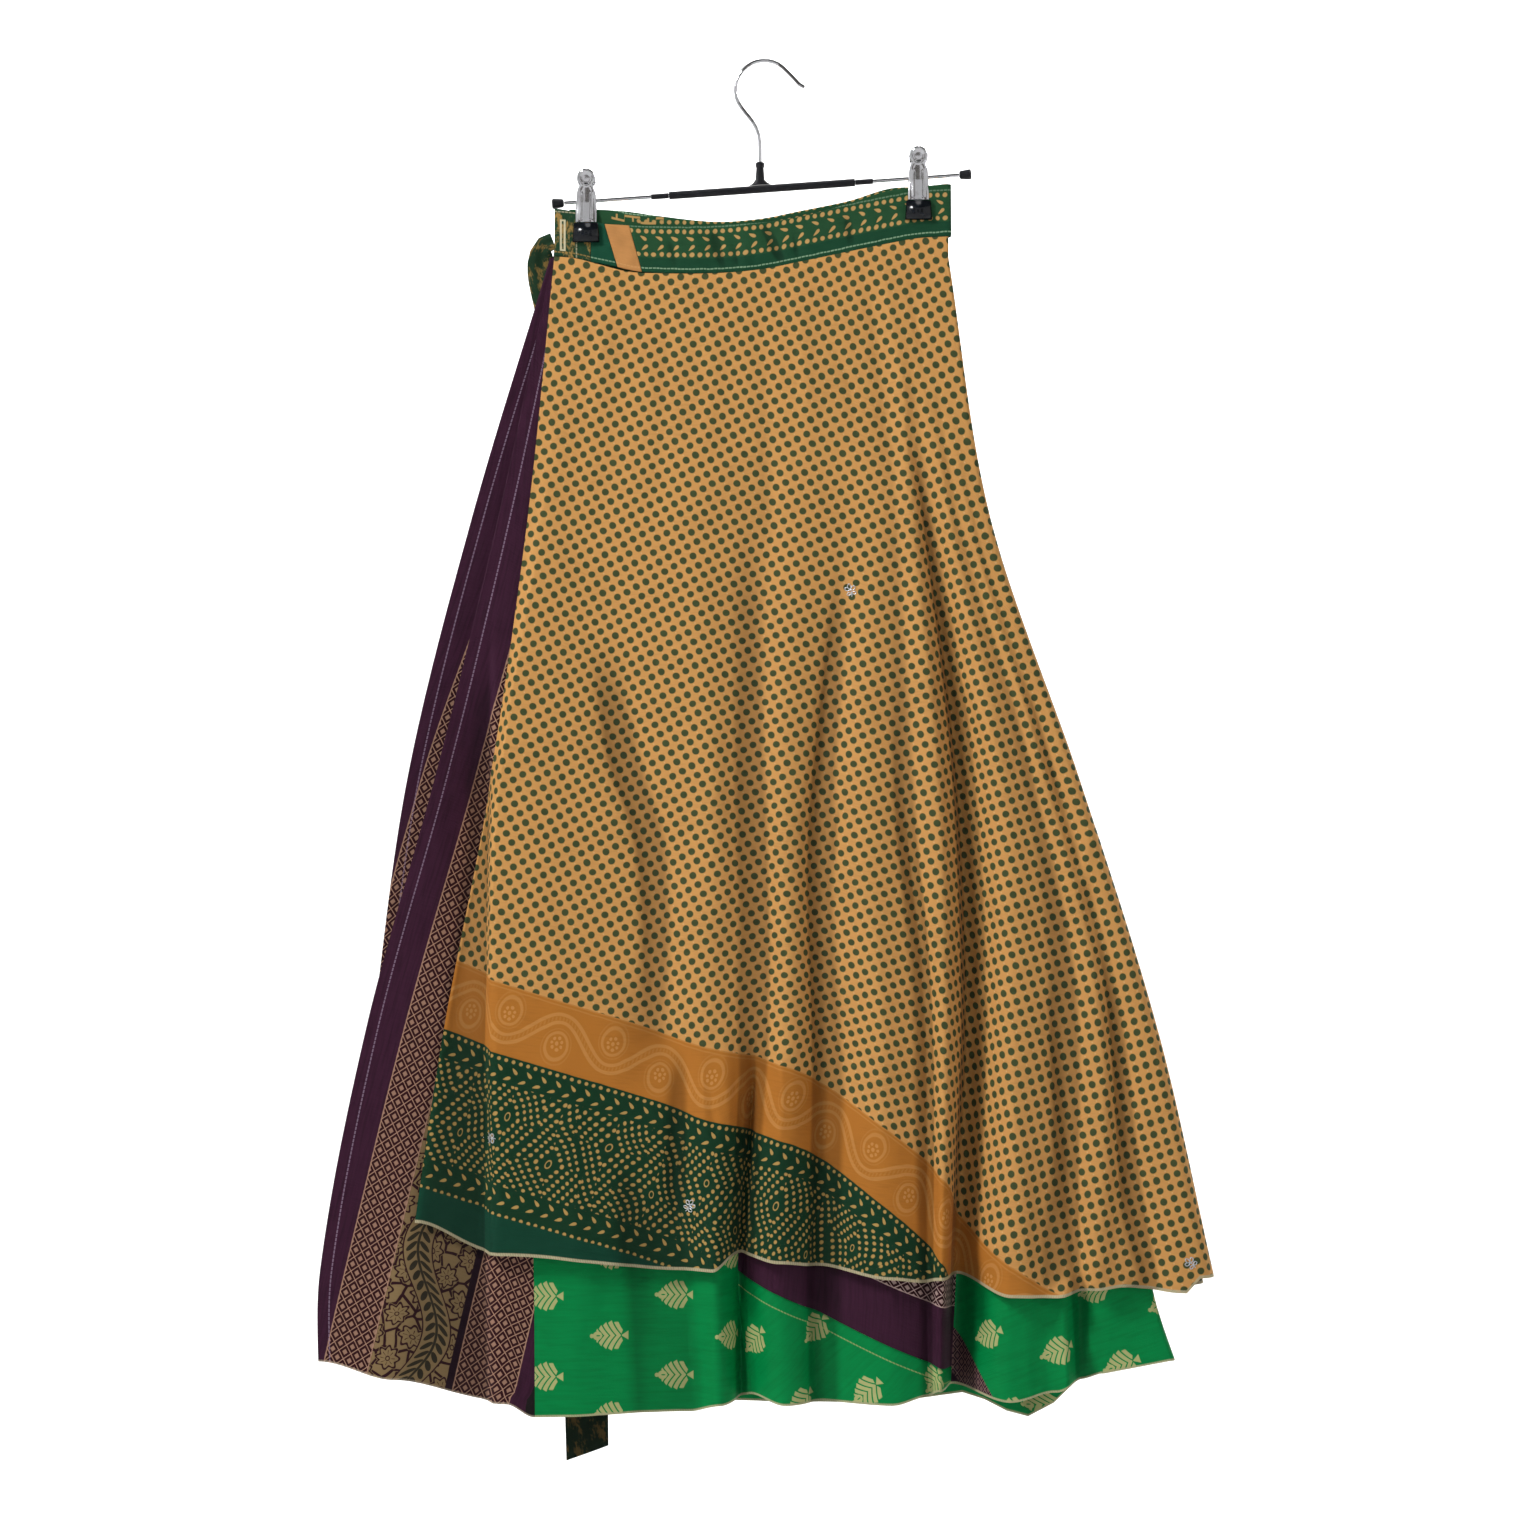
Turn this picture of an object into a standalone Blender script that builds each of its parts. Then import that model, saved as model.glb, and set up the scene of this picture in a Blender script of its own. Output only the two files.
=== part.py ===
"""A two-layer wrap skirt, folded in four and hung by its waistband from a clip hanger.

Metres, +Z up, +X to the viewer's right, +Y away from the viewer. The origin is where the
hanger's hook rests on its rail. Each layer of cloth is a sheet y = depth(layer, x, z): the
layers share one set of folds, each a little weaker than the one outside it, so that they
nest and never cross. Rows of each sheet run from the waist seam to its hem.
"""

import math

import bmesh
import bpy
from mathutils import Matrix, Vector

MM = 0.001

# Walls and gaps
CLOTH = 1.0 * MM
BAND_WALL = 2.0 * MM
TIE_WALL = 1.2 * MM
GAP = 0.3 * MM
SEAM_GAP = 0.7 * MM
GORE_GAP = 1.0 * MM
INSIDE_SEAM_GAP = 3.0 * MM
FOLD_END_GAP = 4.0 * MM

# Levels at which the folds' places are given, from the waist seam down to the lower hem
LEVELS = (-151 * MM, -351 * MM, -549 * MM, -743 * MM, -928 * MM, -1023 * MM)
SEAM_Z = LEVELS[0]
HEM_Z = LEVELS[4]
LOWER_HEM_Z = LEVELS[5]

# Spacing of the eight layers from the near one to the far one, at the waist and at the hem
PITCH_TOP = 1.35 * MM
PITCH_HEM = 8.0 * MM
PITCH_GROWTH = 0.9
LAYER_COUNT = 8
MIDDLE_LAYER = (LAYER_COUNT - 1) / 2
INSIDE_LAYERS = (2, 3, 4, 5)

# Rows of each sheet: the first one below the seam, their spacing and the last one above each hem
ROW_FIRST = -185 * MM
ROW_STEP = 75 * MM
LAST_ROW_UPPER = -860 * MM
LAST_ROW_LOWER = -935 * MM

# How much of the near and of the far folds each layer follows
NEAR_SHARE = (1.0, 0.86, 0.50, 0.42, 0.30, 0.22, 0.06, 0.0)
FAR_SHARE = (0.0, 0.06, 0.22, 0.30, 0.42, 0.50, 0.86, 1.0)

# The folds of the near side, from left to right. "at" is the fold's x at each of LEVELS, "rise"
# how far it stands out at the hem and "start" the height where it begins, all in millimetres.
# "hem" and "lower" are the heights of the upper and the lower layer's hem at that fold.
NEAR_FOLDS = {
    "free_edge": dict(at=(-162, -182, -210, -246, -273, -286), rise=-5, start=-420, hem=-891, lower=-1012),
    "inner_fold": dict(at=(-145, -169, -201, -208, -202, -197), rise=17, start=-230, hem=-913, lower=-1027),
    "valley_1": dict(at=(-111, -138, -108, -84, -64, -57), rise=7, start=-300, hem=-925, lower=-1034),
    "crest_1": dict(at=(-50, -58, -42, -46, -40, -34), rise=17, start=-230, hem=-925, lower=-1028),
    "valley_2": dict(at=(-19, -13, -10, -7, -21, -10), rise=6, start=-500, hem=-913, lower=-1022),
    "crest_2": dict(at=(12, 23, 15, 17, 10, 15), rise=18, start=-230, hem=-919, lower=-1028),
    "valley_3": dict(at=(61, 57, 45, 43, 42, 45), rise=5, start=-260, hem=-923, lower=-1027),
    "crest_3": dict(at=(81, 87, 80, 91, 95, 97), rise=19, start=-240, hem=-931, lower=-1028),
    "valley_4": dict(at=(89, 98, 105, 120, 122, 124), rise=13, start=-260, hem=-934, lower=-1022),
    "crest_4": dict(at=(100, 112, 130, 136, 133, 132), rise=23, start=-190, hem=-931, lower=-1017),
    "valley_5": dict(at=(106, 124, 147, 156, 147, 142), rise=0, start=-190, hem=-931, lower=-1016),
    "crest_5": dict(at=(115, 140, 180, 190, 186, 186), rise=22, start=-190, hem=-944, lower=-1025),
    "valley_6": dict(at=(123, 149, 203, 234, 220, 222), rise=11, start=-260, hem=-945, lower=-1018),
    "crest_6": dict(at=(128, 156, 213, 255, 250, 239), rise=17, start=-260, hem=-940, lower=-1010),
    "valley_7": dict(at=(132, 161, 221, 268, 271, 256), rise=9, start=-300, hem=-938, lower=-1005),
    "crest_7": dict(at=(136, 167, 230, 286, 318, 330), rise=12, start=-300, hem=-942, lower=-992),
}

# The folds of the far side, in the same columns
FAR_FOLDS = {
    "back_crest_1": dict(at=(-127, -135, -159, -183, -204, -212), rise=15, start=-230, hem=-932, lower=-1026),
    "back_valley_1": dict(at=(-81, -89, -97, -109, -121, -126), rise=2, start=-280, hem=-938, lower=-1037),
    "back_crest_2": dict(at=(-35, -39, -39, -47, -51, -51), rise=20, start=-260, hem=-940, lower=-1033),
    "back_valley_2": dict(at=(4, 4, 8, 12, 16, 20), rise=5, start=-300, hem=-936, lower=-1034),
    "back_crest_3": dict(at=(42, 50, 62, 74, 82, 86), rise=24, start=-200, hem=-940, lower=-1036),
    "back_valley_3": dict(at=(73, 89, 109, 133, 149, 153), rise=2, start=-240, hem=-947, lower=-1027),
    "back_crest_4": dict(at=(104, 124, 159, 195, 212, 204), rise=19, start=-240, hem=-954, lower=-1046),
    "back_valley_4": dict(at=(121, 147, 202, 246, 270, 263), rise=7, start=-280, hem=-951, lower=-1005),
}

# Edges and folds that bound the layers, in the same columns
EDGES = {
    "lower_free_edge": dict(at=(-163, -205, -253, -306, -341, -342), hem=-946, lower=-998),
    "green_seam": dict(at=(-138, -157, -181, -181, -176, -175), hem=-916, lower=-1037),
    "outer_fold": dict(at=(141, 173, 240, 300, 342, 364), hem=-931, lower=-978),
    "under_fold": dict(at=(139, 169, 234, 288, 294, 322), hem=-938, lower=-995),
    "far_free_edge": dict(at=(-150, -168, -196, -236, -262, -275), hem=-911, lower=-1015),
    "far_lower_free_edge": dict(at=(-166, -227, -277, -305, -329, -332), hem=-954, lower=-1006),
    "far_gore_seam": dict(at=(-109, -117, -133, -146, -160, -165), hem=-935, lower=-1030),
    "far_outer_fold": dict(at=(140, 172, 238, 299, 337, 353), hem=-942, lower=-992),
    "far_under_fold": dict(at=(138, 167, 231, 284, 294, 310), hem=-946, lower=-995),
}

# The left folds inside: the upper layer's lies within the lower layer's
EDGES_INSIDE = {
    "overlay": dict(at=(-138, -158, -186, -192, -184, -179), hem=-918, lower=-1010),
    "under": dict(at=(-142, -165, -196, -203, -197, -192), hem=-918, lower=-1013),
}

# Height of the slanting seam below the purple gore at its left and right ends, and how it bows
DIAGONAL_LEFT = -928 * MM
DIAGONAL_RIGHT = -1003 * MM
DIAGONAL_BOW = 0.85

# The waistband's edges, from left to right, in millimetres: its foot, the near ply's top and
# the top of the plies behind it, which the clips hold higher
BAND_STATIONS = (
    dict(x=-162, foot=-149.7, near_top=-112.8, back_top=-112.8),
    dict(x=-146, foot=-151.2, near_top=-115.8, back_top=-113.5),
    dict(x=-127, foot=-155.8, near_top=-123.5, back_top=-113.5),
    dict(x=-105, foot=-161.2, near_top=-125.8, back_top=-115.1),
    dict(x=-84, foot=-162.7, near_top=-126.6, back_top=-118.1),
    dict(x=-39, foot=-162.7, near_top=-125.8, back_top=-122.8),
    dict(x=-4, foot=-159.7, near_top=-124.3, back_top=-120.5),
    dict(x=28, foot=-153.5, near_top=-119.7, back_top=-114.3),
    dict(x=65, foot=-145.8, near_top=-109.7, back_top=-106.6),
    dict(x=95, foot=-139.7, near_top=-99.7, back_top=-97.4),
    dict(x=117, foot=-135.8, near_top=-96.6, back_top=-95.9),
    dict(x=141, foot=-134.3, near_top=-94.3, back_top=-93.5),
)
BAND_PITCH = 2 * PITCH_TOP
BAND_RIGHT = 142.5 * MM
BAND_LEFT = -162 * MM
BAND_INNER_LEFT = -150 * MM
BAND_FAR_LEFT = -149.5 * MM
BAND_JOINS = (BAND_LEFT, -134 * MM, -118.5 * MM, -99.5 * MM)
PATCH_SLANT = 10 * MM
SLIT_X = -155.5 * MM
SLIT_WIDTH = 1.6 * MM
SLIT_HEIGHT = 22 * MM
SLIT_Z = -134 * MM

# The ties' middle lines from the band down, in millimetres, with their widths
TIE_BEHIND = 2.6 * MM
TIES = {
    "tie_mottled": (
        dict(x=-162.9, z=-138, width=13, y=-4.05),
        dict(x=-166.5, z=-138.5, width=14, y=-3.2),
        dict(x=-171.5, z=-143, width=15, y=0.0),
        dict(x=-174.5, z=-151, width=16, y=5.0),
        dict(x=-175, z=-163, width=16, y=8.3),
        dict(x=-171, z=-183, width=16),
        dict(x=-166, z=-205, width=18),
        dict(x=-164, z=-240, width=22),
        dict(x=-161, z=-297, width=24),
        dict(x=-157, z=-452, width=27),
        dict(x=-151, z=-607, width=29),
        dict(x=-145, z=-764, width=31),
        dict(x=-141, z=-922, width=32),
        dict(x=-139.5, z=-1024, width=34),
        dict(x=-138.5, z=-1072, width=33),
    ),
    "tie_plain": (
        dict(x=-152.0, z=-136, width=11, y=4.05),
        dict(x=-154.5, z=-136.6, width=11, y=4.4),
        dict(x=-157, z=-141, width=12, y=6.2),
        dict(x=-157, z=-151, width=12, y=8.2),
        dict(x=-152, z=-168, width=13),
        dict(x=-146, z=-204, width=16),
        dict(x=-133, z=-297, width=23),
        dict(x=-124, z=-452, width=28),
        dict(x=-114, z=-607, width=29),
        dict(x=-105, z=-764, width=29),
        dict(x=-98, z=-922, width=29),
        dict(x=-94, z=-1018, width=29),
    ),
}
TIE_STEP = 42 * MM

# Hanger
WIRE_RADIUS = 1.5 * MM
HOOK_CENTRE = Vector((-0.5 * MM, 0, -20.9 * MM))
HOOK_RADIUS = 22.4 * MM
HOOK_ARC = (218, 38)
HOOK_STEM = ((-3.9, -76.4), (-4.0, -66), (-5.0, -55), (-9.4, -45.8))
HOOK_TAIL = ((22.5, -12.6), (26.4, -16.9), (30.4, -19.2))
ROD_RADIUS = 1.4 * MM
ROD_LEFT = Vector((-154.6 * MM, 0, -108.3 * MM))
ROD_RIGHT = Vector((149.4 * MM, 0, -86.75 * MM))
BAR_RADIUS = 3.0 * MM
BAR_ENDS = (-73.9 * MM, 69.3 * MM)
SLEEVE_RADIUS = 2.1 * MM
SLEEVE_LENGTH = 13.5 * MM
CAP_LENGTH = 9.2 * MM
CAP_RADIUS = 3.3 * MM
CAP_RIM_RADIUS = 4.1 * MM
CAP_ROUNDING = 1.0 * MM
BORE = ROD_RADIUS + GAP

# The neck's rings above its foot on the bar, in millimetres: half their width and depth
NECK_X = -3.85 * MM
NECK_RINGS = (
    dict(up=0.0, wide=8.6, deep=2.4),
    dict(up=1.6, wide=5.6, deep=2.8),
    dict(up=4.0, wide=3.6, deep=3.0),
    dict(up=13.3, wide=2.9, deep=2.9),
    dict(up=13.9, wide=3.5, deep=3.5),
    dict(up=16.7, wide=3.4, deep=3.4),
    dict(up=17.5, wide=2.5, deep=2.5),
)
SLOPING_RINGS = 2

# Clips: place of each along the rod, and the height of its lower edge
CLIPS = {
    "clip_left": dict(x=-137.6, foot=-139.5),
    "clip_right": dict(x=118.0, foot=-122.2),
}
PAD_WIDTH = 21.0 * MM
PAD_HEIGHT = 15.2 * MM
PAD_WALL = 2.6 * MM
PAD_TAPER = 0.9
PAD_ROUNDING = 0.9 * MM
PAD_MIDDLE = 1.5 * BAND_PITCH + BAND_WALL / 2 + GAP + PAD_WALL / 2
SPRING_RADIUS = 4.4 * MM
SPRING_LENGTH = 11.0 * MM
SPRING_ROUNDING = 0.4 * MM

# A clip's plate above the clip's lower edge, in millimetres: half its width, and how far its
# middle lies from the clip's middle plane
PLATE_WALL = 0.8 * MM
PLATE_ROWS = (
    dict(up=15.7, half=8.1, out=6.6),
    dict(up=22.0, half=8.1, out=6.0),
    dict(up=31.0, half=7.5, out=5.1),
    dict(up=34.5, half=7.3, out=5.1),
    dict(up=38.0, half=7.1, out=5.1),
    dict(up=41.0, half=6.5, out=5.4),
    dict(up=44.6, half=5.1, out=6.1),
    dict(up=47.0, half=6.5, out=6.8),
    dict(up=49.5, half=7.0, out=7.5),
    dict(up=52.3, half=6.4, out=8.1),
    dict(up=54.8, half=4.6, out=8.5),
    dict(up=56.3, half=1.7, out=8.6),
)

COLOURS = {
    "dotted_gold": ((0.66, 0.35, 0.11), 0.55, 0.0),
    "purple_brocade": ((0.09, 0.03, 0.07), 0.50, 0.0),
    "green_silk": ((0.0, 0.30, 0.08), 0.45, 0.0),
    "mottled_green": ((0.10, 0.16, 0.06), 0.60, 0.0),
    "plain_green": ((0.02, 0.12, 0.05), 0.55, 0.0),
    "orange_silk": ((0.62, 0.28, 0.09), 0.55, 0.0),
    "band_green": ((0.04, 0.14, 0.07), 0.55, 0.0),
    "chrome": ((0.75, 0.75, 0.78), 0.15, 1.0),
    "black_plastic": ((0.02, 0.02, 0.025), 0.40, 0.0),
    "black_vinyl": ((0.015, 0.018, 0.022), 0.30, 0.0),
}


def clear_scene():
    for item in list(bpy.data.objects):
        bpy.data.objects.remove(item)


def new_collection(name):
    made = bpy.data.collections.new(name)
    bpy.context.scene.collection.children.link(made)
    return made


def material(name):
    """The material of that name, made once."""
    found = bpy.data.materials.get(name)
    if found:
        return found
    colour, roughness, metallic = COLOURS[name]
    made = bpy.data.materials.new(name)
    made.use_nodes = True
    shader = made.node_tree.nodes["Principled BSDF"]
    shader.inputs["Base Color"].default_value = (*colour, 1)
    shader.inputs["Roughness"].default_value = roughness
    shader.inputs["Metallic"].default_value = metallic
    return made


def ease(t):
    """A soft step from 0 to 1."""
    t = min(max(t, 0), 1)
    return t * t * (3 - 2 * t)


def mix(a, b, t):
    return a + (b - a) * t


def line_rise(row, z):
    """How far a fold stands out at height z."""
    start = row["start"] * MM
    share = (start - z) / (start - LOWER_HEM_Z)
    return row["rise"] * MM * ease(max(share, 0) ** 0.75) if share > 0 else 0.0


def line_x(row, z):
    """The x of a fold, an edge or a seam at height z."""
    down = [-level for level in LEVELS]
    return smooth_between(down, row["at"], -z) * MM


def relief(folds, x, z):
    """How far the folds stand out at (x, z)."""
    rows = list(folds.values())
    places = [line_x(row, z) for row in rows]
    rises = [line_rise(row, z) for row in rows]
    if x <= places[0]:
        return rises[0]
    for k in range(len(rows) - 1):
        if x <= places[k + 1]:
            return mix(rises[k], rises[k + 1], ease((x - places[k]) / (places[k + 1] - places[k])))
    return rises[-1]


def pitch(z):
    """Distance from one layer to the next at height z."""
    fall = min(max((SEAM_Z - z) / (SEAM_Z - HEM_Z), 0), 1.1)
    return mix(PITCH_TOP, PITCH_HEM, fall**PITCH_GROWTH)


def depth(layer, x, z):
    """The y of a layer's middle surface."""
    near = NEAR_SHARE[layer] * relief(NEAR_FOLDS, x, z)
    far = FAR_SHARE[layer] * relief(FAR_FOLDS, x, z)
    return (layer - MIDDLE_LAYER) * pitch(z) - near + far


def smooth_between(places, values, place):
    """A smooth curve through values at rising places, read at one place and level past the ends."""
    last = len(places) - 1
    if place <= places[0]:
        return values[0]
    if place >= places[last]:
        return values[last]
    k = next(i for i in range(last) if place <= places[i + 1])
    slopes = []
    for i in (k, k + 1):
        low, high = max(i - 1, 0), min(i + 1, last)
        slopes.append((values[high] - values[low]) / (places[high] - places[low]))
    span = places[k + 1] - places[k]
    t = (place - places[k]) / span
    t2, t3 = t * t, t * t * t
    start = (2 * t3 - 3 * t2 + 1) * values[k] + (t3 - 2 * t2 + t) * span * slopes[0]
    return start + (3 * t2 - 2 * t3) * values[k + 1] + (t3 - t2) * span * slopes[1]


def band_edge(x, key):
    """Height of one edge of the waistband at x."""
    places = [row["x"] * MM for row in BAND_STATIONS]
    return smooth_between(places, [row[key] * MM for row in BAND_STATIONS], x)


class Station:
    """One line down a sheet: where it lies at each height, and where its hem is."""

    def __init__(self, place, hem, foot=None, below=SEAM_GAP):
        self.place = place
        self.hem = hem
        self.top = band_edge(place(SEAM_Z)[0], "foot") - below
        self.foot = hem if foot is None else foot


def seam_gap(layer):
    """The gap below the band: wider for the layers folded inside, whose few stations miss its curve."""
    return INSIDE_SEAM_GAP if layer in INSIDE_LAYERS else SEAM_GAP


def on_layer(layer, x_of, hem):
    """A station on a layer, at x_of(z)."""
    return Station(lambda z: (x_of(z), depth(layer, x_of(z), z)), hem, below=seam_gap(layer))


def between(layer, a, b, t, key, shift=0.0):
    """A station a share t of the way from line a to line b."""
    hem = mix(a[key], b[key], ease(t)) * MM
    return on_layer(layer, lambda z: mix(line_x(a, z), line_x(b, z), t) + shift, hem)


def run(layer, lines, counts, key, shift_first=0.0, shift_last=0.0):
    """Stations along a layer through lines, with counts[k] of them from line k to the next."""
    made = []
    for k, count in enumerate(counts):
        for i in range(count):
            shift = shift_first if k == i == 0 else 0.0
            made.append(between(layer, lines[k], lines[k + 1], i / count, key, shift))
    made.append(between(layer, lines[-2], lines[-1], 1.0, key, shift_last))
    return made


def turn(first, second, edge, steps, key, side):
    """Stations round the fold that joins two layers, an ellipse that reaches the edge line.

    side is 1 for a fold at the right and -1 for one at the left. The first and last stations
    lie on the layers themselves.
    """
    hem = edge[key] * MM

    def reach(z):
        return (second - first) * pitch(z) / 2

    def station(k):
        angle = math.pi * k / steps

        def place(z):
            root = line_x(edge, z) - side * reach(z)
            near, far = depth(first, root, z), depth(second, root, z)
            y = mix(near, far, (1 - math.cos(angle)) / 2)
            return root + side * reach(z) * math.sin(angle), y

        return Station(place, hem, below=max(seam_gap(first), seam_gap(second)))

    return [station(k) for k in range(steps + 1)]


def grid(name, columns, rows):
    """A grid of columns by rows points, and its vertices as a list of rows."""
    mesh = bpy.data.meshes.new(name)
    work = bmesh.new()
    bmesh.ops.create_grid(work, x_segments=columns - 1, y_segments=rows - 1, size=1)
    work.verts.ensure_lookup_table()
    order = sorted(work.verts, key=lambda v: (round(-v.co.y, 5), round(v.co.x, 5)))
    return mesh, work, [order[k * columns : (k + 1) * columns] for k in range(rows)]


def finish_sheet(name, mesh, work, wall, slot, collection):
    """Closes a sheet's surface into a solid wall."""
    bmesh.ops.recalc_face_normals(work, faces=work.faces[:])
    work.to_mesh(mesh)
    work.free()
    made = bpy.data.objects.new(name, mesh)
    collection.objects.link(made)
    solid = made.modifiers.new("wall", "SOLIDIFY")
    solid.thickness = wall
    solid.offset = 0
    mesh.shade_smooth()
    mesh.set_sharp_from_angle(angle=math.radians(40))
    mesh.materials.append(material(slot))
    return made


def sheet(name, stations, heights, slot, collection):
    """Cloth through the stations, with a row at each height between its top and its foot."""
    mesh, work, rows = grid(name, len(stations), len(heights) + 2)
    for station, column in zip(stations, zip(*rows)):
        for z, vert in zip((station.top, *heights, station.foot), column):
            x, y = station.place(z)
            vert.co = (x, y, z)
    return finish_sheet(name, mesh, work, CLOTH, slot, collection)


def row_heights(last, every=1):
    """Heights that the layers' rows share, so that one layer's rows lie level with the next one's."""
    count = math.floor((ROW_FIRST - last) / ROW_STEP) + 1
    return [ROW_FIRST - k * ROW_STEP for k in range(0, count, every)]


def cut_lower(stations, heights, gap):
    """Copies of stations that end at heights instead of at the hem."""
    made = []
    for station, height in zip(stations, heights):
        copy = Station(station.place, station.hem, foot=height + gap)
        made.append(copy)
    return made


def cut_upper(stations, heights, gap):
    """Copies of stations that begin at heights instead of at the waist."""
    made = []
    for station, height in zip(stations, heights):
        copy = Station(station.place, station.hem)
        copy.top = height - gap
        made.append(copy)
    return made


def build_overlay(collection):
    """The dotted upper layer: near, folded inside and far."""
    folds = list(NEAR_FOLDS.values())
    counts = (2, 4, 3, 2, 2, 3, 3, 1, 2, 2, 3, 2, 2, 1, 3)
    near = run(0, folds, counts, "hem") + turn(0, 3, EDGES["outer_fold"], 6, "hem", 1)
    sheet("overlay_near", near, row_heights(LAST_ROW_UPPER), "dotted_gold", collection)

    back = list(FAR_FOLDS.values())
    far_lines = [EDGES["far_free_edge"], *back]
    far = run(7, far_lines, (2, 3, 3, 3, 3, 3, 3, 2), "hem")
    far += reversed(turn(4, 7, EDGES["far_outer_fold"], 6, "hem", 1))
    sheet("overlay_far", far, row_heights(LAST_ROW_UPPER), "dotted_gold", collection)

    inner = [row for name, row in NEAR_FOLDS.items() if name not in ("free_edge", "inner_fold", "crest_7")]
    turn_left = turn(3, 4, EDGES_INSIDE["overlay"], 4, "hem", -1)
    near_half = run(3, inner, (1,) * (len(inner) - 1), "hem")
    far_half = run(4, back[1:], (1,) * (len(back) - 2), "hem")
    path = [inside_end(3, "outer_fold", 3)] + near_half[::-1] + turn_left + far_half
    path += [inside_end(4, "far_outer_fold", 3)]
    sheet("overlay_inside", path, row_heights(LAST_ROW_UPPER, 2), "dotted_gold", collection)


def inside_end(layer, edge, span):
    """The station where an inner layer meets the fold of its outer neighbour, a gap short of it."""
    row = EDGES[edge]
    key = "hem" if span == 3 else "lower"
    return on_layer(layer, lambda z: line_x(row, z) - span * pitch(z) / 2 - FOLD_END_GAP, row[key] * MM)


def build_under(collection):
    """The longer layer beneath: five gores near, one folded inside and two far."""
    names = list(NEAR_FOLDS)
    rows = NEAR_FOLDS
    seam = EDGES["green_seam"]
    purple_lines = [EDGES["lower_free_edge"], rows["free_edge"], rows["inner_fold"], seam]
    half = GORE_GAP / 2
    purple = run(1, purple_lines, (4, 3, 2), "lower", shift_last=-half)
    sheet("gore_purple_near", purple, row_heights(LAST_ROW_LOWER), "purple_brocade", collection)

    green_lines = [seam, rows["valley_1"], rows["crest_1"], rows["valley_2"]]
    green = run(1, green_lines, (2, 2, 2), "lower", half, -half)
    sheet("gore_green_near", green, row_heights(LAST_ROW_LOWER), "green_silk", collection)

    wedge_lines = [rows[name] for name in names[4:11]]
    wedge = run(1, wedge_lines, (2, 2, 3, 1, 2, 2), "lower", half, -half)
    heights = [diagonal_height(station) for station in wedge]
    upper = cut_lower(wedge, heights, half)
    lower = cut_upper(wedge, heights, half)
    sheet("gore_wedge_purple", upper, row_heights(LAST_ROW_UPPER), "purple_brocade", collection)
    sheet("gore_corner_green", lower, (), "green_silk", collection)

    right_lines = [rows[name] for name in names[10:15]]
    right = run(1, right_lines, (3, 2, 2, 1), "lower", half)
    right += turn(1, 2, EDGES["under_fold"], 4, "lower", 1)
    sheet("gore_green_right", right, row_heights(LAST_ROW_LOWER), "green_silk", collection)

    inner = [row for name, row in rows.items() if name not in ("free_edge", "inner_fold", "crest_7")]
    turn_left = turn(2, 5, EDGES_INSIDE["under"], 4, "lower", -1)
    back = list(FAR_FOLDS.values())
    near_half = run(2, inner, (1,) * (len(inner) - 1), "lower")
    far_half = run(5, back[1:], (1,) * (len(back) - 2), "lower")
    path = [inside_end(2, "under_fold", 1)] + near_half[::-1] + turn_left + far_half
    path += [inside_end(5, "far_under_fold", 1)]
    sheet("under_inside", path, row_heights(LAST_ROW_LOWER, 2), "green_silk", collection)

    gore = EDGES["far_gore_seam"]
    far_purple = run(6, [EDGES["far_lower_free_edge"], back[0], gore], (5, 2), "lower", shift_last=-half)
    sheet("gore_purple_far", far_purple, row_heights(LAST_ROW_LOWER), "purple_brocade", collection)
    far_green = run(6, [gore, *back[1:]], (1, 2, 2, 2, 2, 2, 2), "lower", half)
    far_green += reversed(turn(5, 6, EDGES["far_under_fold"], 4, "lower", 1))
    sheet("gore_green_far", far_green, row_heights(LAST_ROW_LOWER), "green_silk", collection)


def diagonal_height(station):
    """Height of the slanting seam below the purple gore at a station."""
    left, right = NEAR_FOLDS["valley_2"], NEAR_FOLDS["valley_5"]
    x = station.place(LOWER_HEM_Z)[0]
    first, last = line_x(left, LOWER_HEM_Z), line_x(right, LOWER_HEM_Z)
    return mix(DIAGONAL_LEFT, DIAGONAL_RIGHT, ((x - first) / (last - first)) ** DIAGONAL_BOW)


def band_stations(ply, first, last, count):
    """(x, y) pairs along one ply of the waistband."""
    y = (ply - 1.5) * BAND_PITCH
    return [(mix(first, last, k / (count - 1)), y) for k in range(count)]


def band_turn(ply, edge, side, steps=4):
    """(x, y) pairs round the fold from a ply to the next, without its two ends."""
    radius = BAND_PITCH / 2
    middle = (ply - 1) * BAND_PITCH
    pairs = []
    for k in range(1, steps):
        angle = math.pi * k / steps
        pairs.append((edge + side * radius * (math.sin(angle) - 1), middle - radius * math.cos(angle)))
    return pairs


def band_sheet(name, pairs, lean, top_key, slot, collection, rows=3):
    """A stretch of waistband. lean is how far its two ends slant, top_key the edge it reaches up to."""
    mesh, work, lines = grid(name, len(pairs), rows + 1)
    for k, line in enumerate(lines):
        share = k / rows
        for i, ((x, y), vert) in enumerate(zip(pairs, line)):
            slant = mix(lean[0], lean[1], i / (len(pairs) - 1)) * (0.5 - share)
            foot, top = band_edge(x, "foot"), band_edge(x, top_key)
            vert.co = (x - slant, y, mix(top, foot, share))
    return finish_sheet(name, mesh, work, BAND_WALL, slot, collection)


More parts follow.
